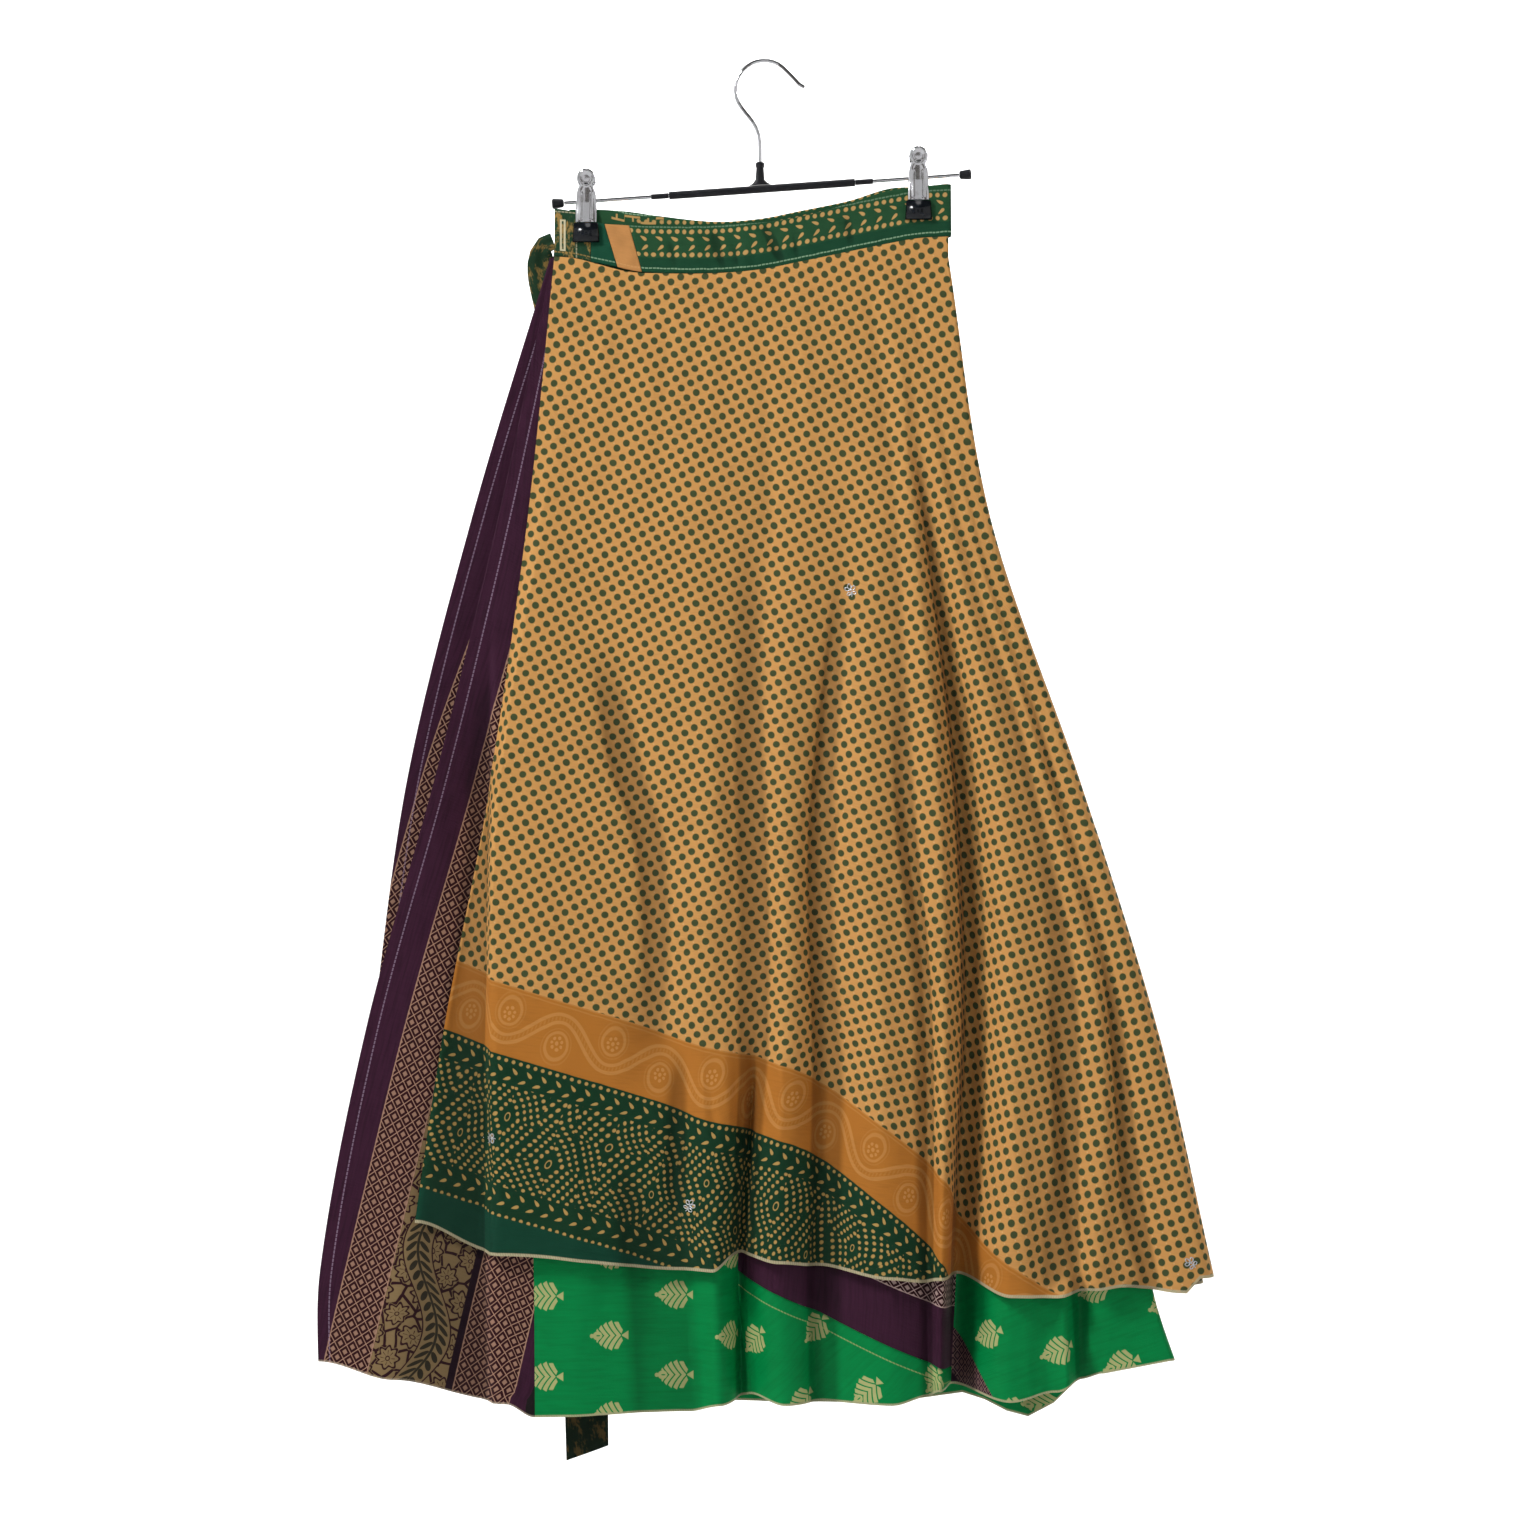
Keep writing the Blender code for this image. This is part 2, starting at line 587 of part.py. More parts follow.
def build_band(collection):
    """The pieced waistband, folded in four as the skirt is."""
    half = GAP / 2
    leans = (0, 0, PATCH_SLANT, PATCH_SLANT)
    slots = {
        "band_end_mottled": "mottled_green",
        "band_insert_green": "plain_green",
        "band_patch_orange": "orange_silk",
    }
    for k, (name, slot) in enumerate(slots.items()):
        pairs = band_stations(0, BAND_JOINS[k] + half, BAND_JOINS[k + 1] - half, 4)
        band_sheet(name, pairs, leans[k : k + 2], "near_top", slot, collection)
    near_end = BAND_RIGHT - BAND_PITCH / 2
    pairs = band_stations(0, BAND_JOINS[3] + half, near_end, 20)
    pairs += band_turn(0, BAND_RIGHT, 1)
    band_sheet("band_near", pairs, (PATCH_SLANT, 0), "near_top", "band_green", collection)

    inner_left = BAND_INNER_LEFT + BAND_PITCH / 2
    pairs = band_stations(1, near_end - GAP, inner_left, 9) + band_turn(1, BAND_INNER_LEFT, -1)
    pairs += band_stations(2, inner_left, near_end - GAP, 9)
    band_sheet("band_inside", pairs, (0, 0), "back_top", "band_green", collection)

    pairs = band_stations(3, BAND_FAR_LEFT, near_end, 18)
    pairs += band_turn(2, BAND_RIGHT, 1)[::-1]
    band_sheet("band_far", pairs, (0, 0), "back_top", "band_green", collection)


def cut_slit(band_end, cutters):
    """The buttonhole, cut through the end of the band."""
    mesh = bpy.data.meshes.new("buttonhole")
    work = bmesh.new()
    size = Matrix.Diagonal((SLIT_WIDTH, 4 * BAND_WALL, SLIT_HEIGHT, 1))
    place = Matrix.Translation((SLIT_X, -1.5 * BAND_PITCH, SLIT_Z))
    bmesh.ops.create_cube(work, size=1, matrix=place @ size)
    work.to_mesh(mesh)
    work.free()
    cutter = bpy.data.objects.new("buttonhole", mesh)
    cutter.hide_render = True
    cutter.display_type = "WIRE"
    cutters.objects.link(cutter)
    cut = band_end.modifiers.new("buttonhole", "BOOLEAN")
    cut.operation = "DIFFERENCE"
    cut.solver = "EXACT"
    cut.object = cutter


def smooth_points(points, step):
    """Points a step apart along a smooth curve through points, by Catmull and Rom's rule."""
    made = []
    for k in range(len(points) - 1):
        before = points[max(k - 1, 0)]
        a, b = points[k], points[k + 1]
        after = points[min(k + 2, len(points) - 1)]
        pieces = max(1, round((b - a).length / step))
        for i in range(pieces):
            t = i / pieces
            made.append(
                0.5 * (2 * a + (b - before) * t + (2 * before - 5 * a + 4 * b - after) * t**2
                       + (3 * a - before - 3 * b + after) * t**3)
            )
    return made + [points[-1].copy()]


def tie_depth(x, z):
    """The y of a tie that lies against the back of the skirt."""
    return depth(LAYER_COUNT - 1, x, z) + TIE_BEHIND


def build_tie(name, slot, collection):
    """A tie: a flat tube of silk, gathered where it is sewn to the band."""
    rows = TIES[name]
    middle = smooth_points([Vector((row["x"], row["width"], row["z"])) * MM for row in rows], TIE_STEP)
    knots = [row for row in rows if "y" in row]
    mesh, work, lines = grid(name, 3, len(middle))
    for k, line in enumerate(lines):
        here = middle[k]
        ahead = middle[min(k + 1, len(middle) - 1)] - middle[max(k - 1, 0)]
        across = Vector((-ahead.z, 0, ahead.x)).normalized()
        for share, vert in zip((-0.5, 0, 0.5), line):
            place = Vector((here.x, 0, here.z)) + across * here.y * share
            place.y = tie_depth(place.x, place.z)
            if k < len(knots):
                place.y = knots[k]["y"] * MM
            vert.co = place
    return finish_sheet(name, mesh, work, TIE_WALL, slot, collection)


def mesh_object(name, work, slot, collection, smooth_angle=35):
    """An object of a finished bmesh, facing out."""
    bmesh.ops.recalc_face_normals(work, faces=work.faces[:])
    mesh = bpy.data.meshes.new(name)
    work.to_mesh(mesh)
    work.free()
    mesh.shade_smooth()
    mesh.set_sharp_from_angle(angle=math.radians(smooth_angle))
    mesh.materials.append(material(slot))
    made = bpy.data.objects.new(name, mesh)
    collection.objects.link(made)
    return made


def build_hook(collection):
    """The wire hook: a stem, a round bow and a short turned-up tail."""
    arc_steps = 8
    points = [Vector((x, 0, z)) * MM for x, z in HOOK_STEM]
    for k in range(arc_steps + 1):
        angle = math.radians(mix(HOOK_ARC[0], HOOK_ARC[1], k / arc_steps))
        points.append(HOOK_CENTRE + HOOK_RADIUS * Vector((math.cos(angle), 0, math.sin(angle))))
    points += [Vector((x, 0, z)) * MM for x, z in HOOK_TAIL]
    curve = bpy.data.curves.new("hanger_hook", "CURVE")
    curve.dimensions = "3D"
    curve.bevel_depth = WIRE_RADIUS
    curve.bevel_resolution = 2
    curve.use_fill_caps = True
    wire = smooth_points(points, 5 * MM)
    line = curve.splines.new("POLY")
    line.points.add(len(wire) - 1)
    for point, place in zip(line.points, wire):
        point.co = (*place, 1)
    curve.materials.append(material("chrome"))
    collection.objects.link(bpy.data.objects.new("hanger_hook", curve))


def along_rod(x):
    """The rod's middle at x."""
    share = (x - ROD_LEFT.x) / (ROD_RIGHT.x - ROD_LEFT.x)
    return ROD_LEFT.lerp(ROD_RIGHT, share)


def set_along_rod(made, middle):
    """Places a piece made about +Z so that it lies about the rod, with its middle at a point."""
    made.location = middle
    made.rotation_euler = Vector((0, 0, 1)).rotation_difference(ROD_RIGHT - ROD_LEFT).to_euler()


def turned(name, outer, bore, middle, slot, collection, steps=16):
    """A piece turned about the rod. outer holds (up, radius) down its outer side, top first."""
    ends = [(outer[-1][0], bore), (outer[0][0], bore)]
    profile = [*outer, *ends, outer[0]] if bore else [ends[1], *outer, ends[0]]
    joins = [(k, k + 1) for k in range(len(profile) - 1)]
    mesh = bpy.data.meshes.new(name)
    mesh.from_pydata([(radius, 0, up) for up, radius in profile], joins, [])
    mesh.materials.append(material(slot))
    made = bpy.data.objects.new(name, mesh)
    collection.objects.link(made)
    spin = made.modifiers.new("turned", "SCREW")
    spin.steps = steps
    spin.render_steps = steps
    spin.use_merge_vertices = True
    spin.merge_threshold = 0.02 * MM
    spin.use_smooth_shade = True
    set_along_rod(made, middle)
    return made


def rounded_tube(length, radius, rounding):
    """The outer side of a tube with rounded ends, as (up, radius) from its top end down."""
    top, side = length / 2, radius - rounding
    return [(top, side), (top - rounding, radius), (rounding - top, radius), (-top, side)]


def build_rod(collection):
    """The rod, the black bar and sleeves on it, and its two end caps."""
    axis = (ROD_RIGHT - ROD_LEFT).normalized()
    work = bmesh.new()
    length = (ROD_RIGHT - ROD_LEFT).length
    bmesh.ops.create_cone(
        work, cap_ends=True, segments=12, radius1=ROD_RADIUS, radius2=ROD_RADIUS, depth=length
    )
    rod = mesh_object("hanger_rod", work, "chrome", collection)
    set_along_rod(rod, (ROD_LEFT + ROD_RIGHT) / 2)

    first, last = along_rod(BAR_ENDS[0]), along_rod(BAR_ENDS[1])
    bar = rounded_tube((last - first).length, BAR_RADIUS, GAP)
    turned("hanger_bar", bar, BORE, (first + last) / 2, "black_plastic", collection)
    reach = axis * (SLEEVE_LENGTH / 2 + GAP)
    tube = [(SLEEVE_LENGTH / 2, SLEEVE_RADIUS), (-SLEEVE_LENGTH / 2, SLEEVE_RADIUS)]
    turned("sleeve_left", tube, BORE, first - reach, "black_plastic", collection)
    turned("sleeve_right", tube, BORE, last + reach, "black_plastic", collection)

    top = CAP_LENGTH / 2
    cap = [(top, CAP_RIM_RADIUS - CAP_ROUNDING), (top - CAP_ROUNDING, CAP_RIM_RADIUS)]
    cap += [(CAP_ROUNDING - top, CAP_RADIUS), (-top, CAP_RADIUS - CAP_ROUNDING)]
    other = [(-up, radius) for up, radius in reversed(cap)]
    reach = axis * (top + GAP)
    turned("cap_left", other, 0, ROD_LEFT - reach, "black_plastic", collection)
    turned("cap_right", cap, 0, ROD_RIGHT + reach, "black_plastic", collection)


def build_neck(collection):
    """The moulded neck between the hook and the bar: a collar, a stem and a flared foot."""
    foot = along_rod(NECK_X).z + BAR_RADIUS + GAP
    slope = (ROD_RIGHT - ROD_LEFT).z / (ROD_RIGHT - ROD_LEFT).x
    work = bmesh.new()
    steps = 16
    loops = []
    for k, ring in enumerate(NECK_RINGS):
        loop = []
        for i in range(steps):
            angle = 2 * math.pi * i / steps
            x, y = ring["wide"] * MM * math.cos(angle), ring["deep"] * MM * math.sin(angle)
            lift = slope * x if k < SLOPING_RINGS else 0.0
            loop.append(work.verts.new((NECK_X + x, y, foot + ring["up"] * MM + lift)))
        loops.append(loop)
    for a, b in zip(loops, loops[1:]):
        for i in range(steps):
            work.faces.new((a[i], a[(i + 1) % steps], b[(i + 1) % steps], b[i]))
    work.faces.new(loops[0][::-1])
    work.faces.new(loops[-1])
    mesh_object("hanger_neck", work, "black_plastic", collection)


def build_clip(name, collection):
    """A pinch clip: two stamped plates, a dipped pad on each and the spring between them."""
    x, foot = CLIPS[name]["x"] * MM, CLIPS[name]["foot"] * MM
    for side, label in ((-1, "front"), (1, "back")):
        mesh, work, lines = grid(f"{name}_{label}_plate", 3, len(PLATE_ROWS))
        for row, line in zip(PLATE_ROWS, lines):
            for share, vert in zip((-1, 0, 1), line):
                half, out, up = row["half"] * MM, row["out"] * MM, row["up"] * MM
                vert.co = (x + share * half, side * out, foot + up)
        finish_sheet(f"{name}_{label}_plate", mesh, work, PLATE_WALL, "chrome", collection)
        build_pad(f"{name}_{label}_pad", Vector((x, side * PAD_MIDDLE, foot + PAD_HEIGHT / 2)), collection)
    barrel = rounded_tube(SPRING_LENGTH, SPRING_RADIUS, SPRING_ROUNDING)
    turned(f"{name}_spring", barrel, BORE, along_rod(x), "chrome", collection)


def build_pad(name, middle, collection):
    """The dipped pad of a clip's jaw, a little narrower at its top."""
    work = bmesh.new()
    size = Matrix.Diagonal((PAD_WIDTH, PAD_WALL, PAD_HEIGHT, 1))
    bmesh.ops.create_cube(work, size=1, matrix=Matrix.Translation(middle) @ size)
    for vert in work.verts:
        if vert.co.z > middle.z:
            vert.co.x = mix(middle.x, vert.co.x, PAD_TAPER)
    pad = mesh_object(name, work, "black_vinyl", collection)
    soft = pad.modifiers.new("rounded", "BEVEL")
    soft.width = PAD_ROUNDING
    soft.segments = 2


def main():
    clear_scene()
    skirt = new_collection("wrap_skirt_on_clip_hanger")
    cutters = new_collection("cutters")
    build_overlay(skirt)
    build_under(skirt)
    build_band(skirt)
    cut_slit(skirt.objects["band_end_mottled"], cutters)
    build_tie("tie_mottled", "mottled_green", skirt)
    build_tie("tie_plain", "plain_green", skirt)
    build_hook(skirt)
    build_rod(skirt)
    build_neck(skirt)
    for name in CLIPS:
        build_clip(name, skirt)


main()
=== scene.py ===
"""A two-layer printed wrap skirt, folded flat and hung from a clip hanger, with its looks.

The cloth lies in eight nested layers, y = depth(layer, x, z), that share one set of folds.
Here each layer is a thin shell on that form, with its smaller creases, and each print is
laid on the flat cloth, so that it turns and narrows with every fold.
"""
import logging
import math
from collections.abc import Callable, Mapping, Sequence
from dataclasses import dataclass
from enum import Enum
from typing import Any

import bpy
import numpy as np
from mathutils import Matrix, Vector


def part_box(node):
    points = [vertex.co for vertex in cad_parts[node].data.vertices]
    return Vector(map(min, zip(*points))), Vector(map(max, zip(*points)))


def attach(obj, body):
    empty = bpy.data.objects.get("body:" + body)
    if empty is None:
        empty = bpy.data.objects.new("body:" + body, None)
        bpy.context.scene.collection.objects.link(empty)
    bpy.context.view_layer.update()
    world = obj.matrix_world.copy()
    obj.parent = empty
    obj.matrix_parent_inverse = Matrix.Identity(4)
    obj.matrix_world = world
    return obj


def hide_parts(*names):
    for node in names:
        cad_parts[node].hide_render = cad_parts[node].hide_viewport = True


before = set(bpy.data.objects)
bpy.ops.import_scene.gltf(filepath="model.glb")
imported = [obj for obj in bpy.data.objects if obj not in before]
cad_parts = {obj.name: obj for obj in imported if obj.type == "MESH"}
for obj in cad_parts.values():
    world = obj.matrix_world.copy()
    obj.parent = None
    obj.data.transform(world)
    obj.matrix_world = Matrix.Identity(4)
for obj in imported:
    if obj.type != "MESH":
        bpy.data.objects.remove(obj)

Floats = np.ndarray
Pair = tuple[Floats, Floats]
Place = Callable[[Floats], Pair]
Place3 = tuple[float, float, float]
Look = bpy.types.Material
Socket = bpy.types.NodeSocket

LOG = logging.getLogger("wrap_skirt")
MM = 0.001
BODY = "root"

# Levels at which the folds' places are given, from the waist seam down to the lower hem
LEVELS = (-151, -351, -549, -743, -928, -1023)
SEAM_Z = LEVELS[0] * MM
HEM_Z = LEVELS[4] * MM
LOWER_HEM_Z = LEVELS[5] * MM

PITCH_TOP = 1.35 * MM
PITCH_HEM = 8.0 * MM
PITCH_GROWTH = 0.9
LAYER_COUNT = 8
NEAR_SHARE = (1.0, 0.86, 0.50, 0.42, 0.30, 0.22, 0.06, 0.0)
FAR_SHARE = (0.0, 0.06, 0.22, 0.30, 0.42, 0.50, 0.86, 1.0)
BAND_PITCH = 2 * PITCH_TOP
FULLNESS = 1.12

# The ring of flat cloth in which the print's rows are held, and how strongly, for the border
BORDER_RING = (0.93, 1.17)
BORDER_HOLD = 0.02
LOOSE_HOLD = 1e-6

# How far to each side a fold's depth is compared with its surroundings, for the shade painted into the
# cloth's valleys
SKIRT_FOLDS = 26.0 * MM
BAND_FOLDS = 18.0 * MM


def ease(t: Floats | float) -> Floats:
    """A soft step from 0 to 1."""
    t = np.clip(t, 0, 1)
    return t * t * (3 - 2 * t)


def mix(a: Any, b: Any, t: Any) -> Any:
    """The value a share t of the way from a to b."""
    return a + (b - a) * t


def curve_through(places: Sequence[float], values: Sequence[float], at: Floats | float) -> Floats:
    """Reads a smooth curve through values at rising places, level past its ends.

    Args:
        places: Where the values are given, rising.
        values: The values there.
        at: Where the curve is read.

    Returns:
        The curve's value at each place.
    """
    p, v = np.asarray(places, float), np.asarray(values, float)
    index = np.arange(len(p))
    ahead, back = np.minimum(index + 1, len(p) - 1), np.maximum(index - 1, 0)
    slopes = (v[ahead] - v[back]) / (p[ahead] - p[back])
    k = np.clip(np.searchsorted(p, at) - 1, 0, len(p) - 2)
    span = p[k + 1] - p[k]
    t = np.clip((at - p[k]) / span, 0, 1)
    start = (2 * t**3 - 3 * t**2 + 1) * v[k] + (t**3 - 2 * t**2 + t) * span * slopes[k]
    return start + (3 * t**2 - 2 * t**3) * v[k + 1] + (t**3 - t**2) * span * slopes[k + 1]


@dataclass(frozen=True)
class Line:
    """A fold, an edge or a seam down the cloth, in millimetres.

    at is its x at each level; rise is how far it stands out at the hem, and start the height
    where that begins; hem and lower are the two layers' hems there; turn is where it lies on
    the flat upper cloth, as an angle round the waist in degrees.
    """

    at: tuple[float, ...]
    rise: float = 0.0
    start: float = -200.0
    hem: float = 0.0
    lower: float = 0.0
    turn: float = 0.0

    def x(self, z: Floats | float) -> Floats:
        """The line's x at each height."""
        return curve_through([-level for level in LEVELS], self.at, -np.asarray(z) / MM) * MM

    def stands(self, z: Floats) -> Floats:
        """How far the fold stands out at each height."""
        share = (self.start * MM - z) / (self.start * MM - LOWER_HEM_Z)
        return self.rise * MM * ease(np.clip(share, 0, None) ** 0.75)


@dataclass(frozen=True)
class Crease:
    """A small fold pressed into the cloth, along points (x, z) in millimetres, top first.

    left and right are its widths to each side, rise how far it stands out (or in, where
    negative), and to_hem says that it runs out over the hem.
    """

    points: tuple[tuple[float, float], ...]
    left: float
    right: float
    rise: float
    to_hem: bool = False

    def stands(self, x: Floats, z: Floats) -> Floats:
        """How far the crease stands out (or in, where negative) at each point."""
        down = [-point[1] for point in self.points]
        off = x / MM - curve_through(down, [point[0] for point in self.points], -z / MM)
        width = np.where(off < 0, self.left, self.right)
        along = (-z / MM - down[0]) / (down[-1] - down[0])
        fade = ease(along * 3) * (1.0 if self.to_hem else ease((1 - along) * 3))
        return self.rise * MM * np.exp(-((off / width) ** 2)) * fade


NEAR_FOLDS = {
    "free_edge": Line((-162, -182, -210, -246, -273, -286), -5, -420, -891, -1012, 0.0),
    "inner_fold": Line((-145, -169, -201, -208, -202, -197), 17, -230, -913, -1027, 3.1),
    "valley_1": Line((-111, -138, -108, -84, -64, -57), 7, -300, -925, -1034, 10.0),
    "crest_1": Line((-50, -58, -42, -46, -40, -34), 17, -230, -925, -1028, 11.4),
    "valley_2": Line((-19, -13, -10, -7, -21, -10), 6, -500, -913, -1022, 12.3),
    "crest_2": Line((12, 23, 15, 17, 10, 15), 18, -230, -919, -1028, 14.1),
    "valley_3": Line((61, 57, 45, 43, 42, 45), 5, -260, -923, -1027, 16.8),
    "crest_3": Line((81, 87, 80, 91, 95, 97), 19, -240, -931, -1028, 21.4),
    "valley_4": Line((89, 98, 105, 120, 122, 124), 13, -260, -934, -1022, 23.8),
    "crest_4": Line((100, 112, 130, 136, 133, 132), 23, -190, -931, -1017, 24.8),
    "valley_5": Line((106, 124, 147, 156, 147, 142), 0, -190, -931, -1016, 27.8),
    "crest_5": Line((115, 140, 180, 190, 186, 186), 22, -190, -944, -1025, 30.2),
    "valley_6": Line((123, 149, 203, 234, 220, 222), 11, -260, -945, -1018, 31.9),
    "crest_6": Line((128, 156, 213, 255, 250, 239), 17, -260, -940, -1010, 33.2),
    "valley_7": Line((132, 161, 221, 268, 271, 256), 9, -300, -938, -1005, 34.2),
    "crest_7": Line((136, 167, 230, 286, 318, 330), 12, -300, -942, -992, 36.1),
}
FAR_FOLDS = {
    "back_crest_1": Line((-127, -135, -159, -183, -204, -212), 15, -230, -932, -1026, 5.0),
    "back_valley_1": Line((-81, -89, -97, -109, -121, -126), 2, -280, -938, -1037, 9.5),
    "back_crest_2": Line((-35, -39, -39, -47, -51, -51), 20, -260, -940, -1033, 14.0),
    "back_valley_2": Line((4, 4, 8, 12, 16, 20), 5, -300, -936, -1034, 18.5),
    "back_crest_3": Line((42, 50, 62, 74, 82, 86), 24, -200, -940, -1036, 23.0),
    "back_valley_3": Line((73, 89, 109, 133, 149, 153), 2, -240, -947, -1027, 27.5),
    "back_crest_4": Line((104, 124, 159, 195, 212, 204), 19, -240, -954, -1046, 31.5),
    "back_valley_4": Line((121, 147, 202, 246, 270, 263), 7, -280, -951, -1005, 34.0),
}
EDGES = {
    "lower_free_edge": Line((-163, -205, -253, -306, -341, -342), hem=-946, lower=-998),
    "green_seam": Line((-138, -157, -181, -181, -176, -175), hem=-916, lower=-1037),
    "outer_fold": Line((141, 173, 240, 300, 342, 364), hem=-931, lower=-978, turn=37.6),
    "under_fold": Line((139, 169, 234, 288, 294, 322), hem=-938, lower=-995),
    "far_free_edge": Line((-150, -168, -196, -236, -262, -275), hem=-911, lower=-1015),
    "far_lower_free_edge": Line((-166, -227, -277, -305, -329, -332), hem=-954, lower=-1006),
    "far_gore_seam": Line((-109, -117, -133, -146, -160, -165), hem=-935, lower=-1030),
    "far_outer_fold": Line((140, 172, 238, 299, 337, 353), hem=-942, lower=-992, turn=37.6),
    "far_under_fold": Line((138, 167, 231, 284, 294, 310), hem=-946, lower=-995),
    "overlay_inside": Line((-138, -158, -186, -192, -184, -179), hem=-918, lower=-1010, turn=4.0),
    "under_inside": Line((-142, -165, -196, -203, -197, -192), hem=-918, lower=-1013, turn=4.0),
    "trellis_near": Line((-158, -173, -223, -277, -322, -344)),
    "trellis_far": Line((-150, -197, -266, -316, -338, -350)),
}

NEAR_CREASES = (
    Crease(((-2, -738), (-6, -790), (-14, -850)), 3.2, 2.2, -1.7),
    Crease(((10, -748), (12, -795), (8, -850)), 2.6, 3.2, 1.5),
    Crease(((226, -925), (229, -1010)), 20, 4, 6.5, True),
    Crease(((240, -925), (242, -1010)), 5, 20, -9.0, True),
    Crease(((264, -925), (266, -1000)), 12, 4, 4.0, True),
    Crease(((277, -925), (279, -1000)), 4, 14, -5.0, True),
    Crease(((-14, -905), (-12, -1010)), 15, 9, -7.0, True),
    Crease(((153, -905), (151, -1010)), 11, 22, -8.5, True),
    Crease(
        ((-211, -420), (-213, -553), (-213, -645), (-213, -760), (-212, -838), (-213, -935)),
        left=30, right=2.5, rise=-13, to_hem=True,
    ),
    Crease(
        ((104, -245), (123, -352), (145, -522), (152, -630), (154, -745), (148, -838), (143, -940)),
        left=3.5, right=16, rise=-9, to_hem=True,
    ),
    Crease(((100, -476), (108, -591), (123, -707), (127, -920)), 6, 5, -4.5, True),
    Crease(((62, -352), (50, -460), (36, -614), (42, -784), (39, -940)), 6, 16, -6.0, True),
    Crease(((-135, -429), (-112, -537), (-92, -599), (-85, -676), (-89, -768)), 9, 20, -5),
    Crease(((-62, -740), (-65, -807), (-69, -900)), 9, 12, -4.5),
    Crease(((-8, -740), (-12, -830), (-19, -930)), 3.5, 3.5, -9, True),
    Crease(((-27, -700), (-30, -800), (-36, -930)), 8, 11, 3.5, True),
    Crease(((-44, -772), (-41, -800), (-37, -836)), 2.4, 3.0, -1.6),
    Crease(((-31, -768), (-27, -798), (-25, -842)), 2.2, 2.6, 1.5),
    Crease(((-20, -776), (-19, -806), (-23, -848)), 2.0, 2.4, -1.4),
    Crease(((126, -664), (141, -690), (158, -712)), 3.0, 3.6, -1.6),
    Crease(((176, -690), (163, -712), (154, -742)), 2.8, 3.2, 1.6),
    Crease(((166, -724), (184, -742), (205, -756)), 3.2, 2.6, -1.2),
    Crease(((36, -548), (44, -572), (48, -606)), 2.6, 3.0, 1.4),
    Crease(((62, -560), (54, -590), (52, -628)), 2.4, 3.2, -1.4),
    Crease(((-158, -506), (-141, -532), (-127, -566)), 3.6, 3.0, 1.3),
    Crease(((-176, -612), (-160, -640), (-150, -676)), 3.4, 4.2, -1.3),
    Crease(((-110, -206), (-92, -238), (-80, -276)), 4.0, 3.4, 0.9),
    Crease(((46, -206), (62, -244), (72, -288)), 3.6, 4.2, -1.0),
    Crease(((262, -560), (246, -600), (240, -650)), 4.4, 5.2, 1.6),
    Crease(((219, -690), (231, -853), (240, -950)), 7, 8, -5.0, True),
    Crease(((258, -660), (277, -853), (296, -945)), 8, 10, -5.0, True),
    Crease(((145, -445), (162, -500), (181, -545)), 3, 6, 1.8),
    Crease(((-120, -150), (-128, -260), (-142, -380)), 7, 9, 1.1),
    Crease(((-72, -160), (-78, -250), (-84, -390)), 8, 6, -0.9),
    Crease(((-44, -163), (-40, -240), (-52, -330)), 6, 8, 1.0),
    Crease(((-6, -160), (-2, -250), (6, -420)), 7, 9, -1.1),
    Crease(((22, -154), (30, -230), (34, -330)), 5, 7, 0.9),
    Crease(((74, -143), (84, -210), (96, -330)), 5, 5, -1.2),
    Crease(((88, -141), (97, -200), (112, -300)), 4, 5, 0.9),
    Crease(((108, -137), (120, -220), (143, -340)), 4, 6, -1.0),
    Crease(((-40, -480), (-36, -590), (-20, -700)), 14, 10, 1.8),
    Crease(((10, -500), (2, -610), (8, -760)), 8, 12, -1.6),
    Crease(((196, -430), (214, -520), (232, -640)), 8, 10, -2.2),
    Crease(((78, -620), (88, -740), (84, -860)), 9, 7, 1.8),
    Crease(((182, -760), (192, -850), (201, -945)), 7, 9, 2.0, True),
    Crease(((-150, -770), (-146, -850), (-140, -930)), 13, 9, 2.2, True),
    Crease(((-108, -830), (-104, -880), (-98, -935)), 9, 8, -2.0, True),
    Crease(((322, -760), (331, -850), (338, -930)), 8, 6, -2.4, True),
)
FAR_CREASES = (
    Crease(((-144, -300), (-172, -520), (-196, -760), (-222, -940)), 9, 14, -4, True),
    Crease(((-102, -420), (-112, -600), (-126, -800)), 8, 6, 2.2),
    Crease(((-58, -260), (-62, -470), (-70, -720), (-78, -950)), 6, 11, -3.6, True),
    Crease(((-14, -380), (-12, -560), (-20, -760)), 9, 9, 2.0),
    Crease(((24, -300), (34, -540), (42, -760), (50, -950)), 5, 8, -4.2, True),
    Crease(((70, -480), (84, -640), (96, -820)), 8, 10, 2.4),
    Crease(((92, -230), (126, -470), (158, -720), (176, -955)), 5, 9, -4.8, True),
    Crease(((136, -320), (180, -560), (222, -800)), 9, 6, 1.8),
    Crease(((150, -420), (212, -640), (244, -860), (250, -960)), 6, 7, -3.0, True),
    Crease(((190, -520), (262, -760), (300, -945)), 8, 10, -2.6, True),
    Crease(((-90, -156), (-96, -230), (-104, -330)), 6, 8, 1.0),
    Crease(((-30, -162), (-26, -240), (-30, -360)), 8, 6, -1.1),
    Crease(((34, -152), (42, -230), (52, -320)), 5, 7, 0.9),
    Crease(((82, -142), (98, -220), (120, -330)), 5, 6, -1.0),
)


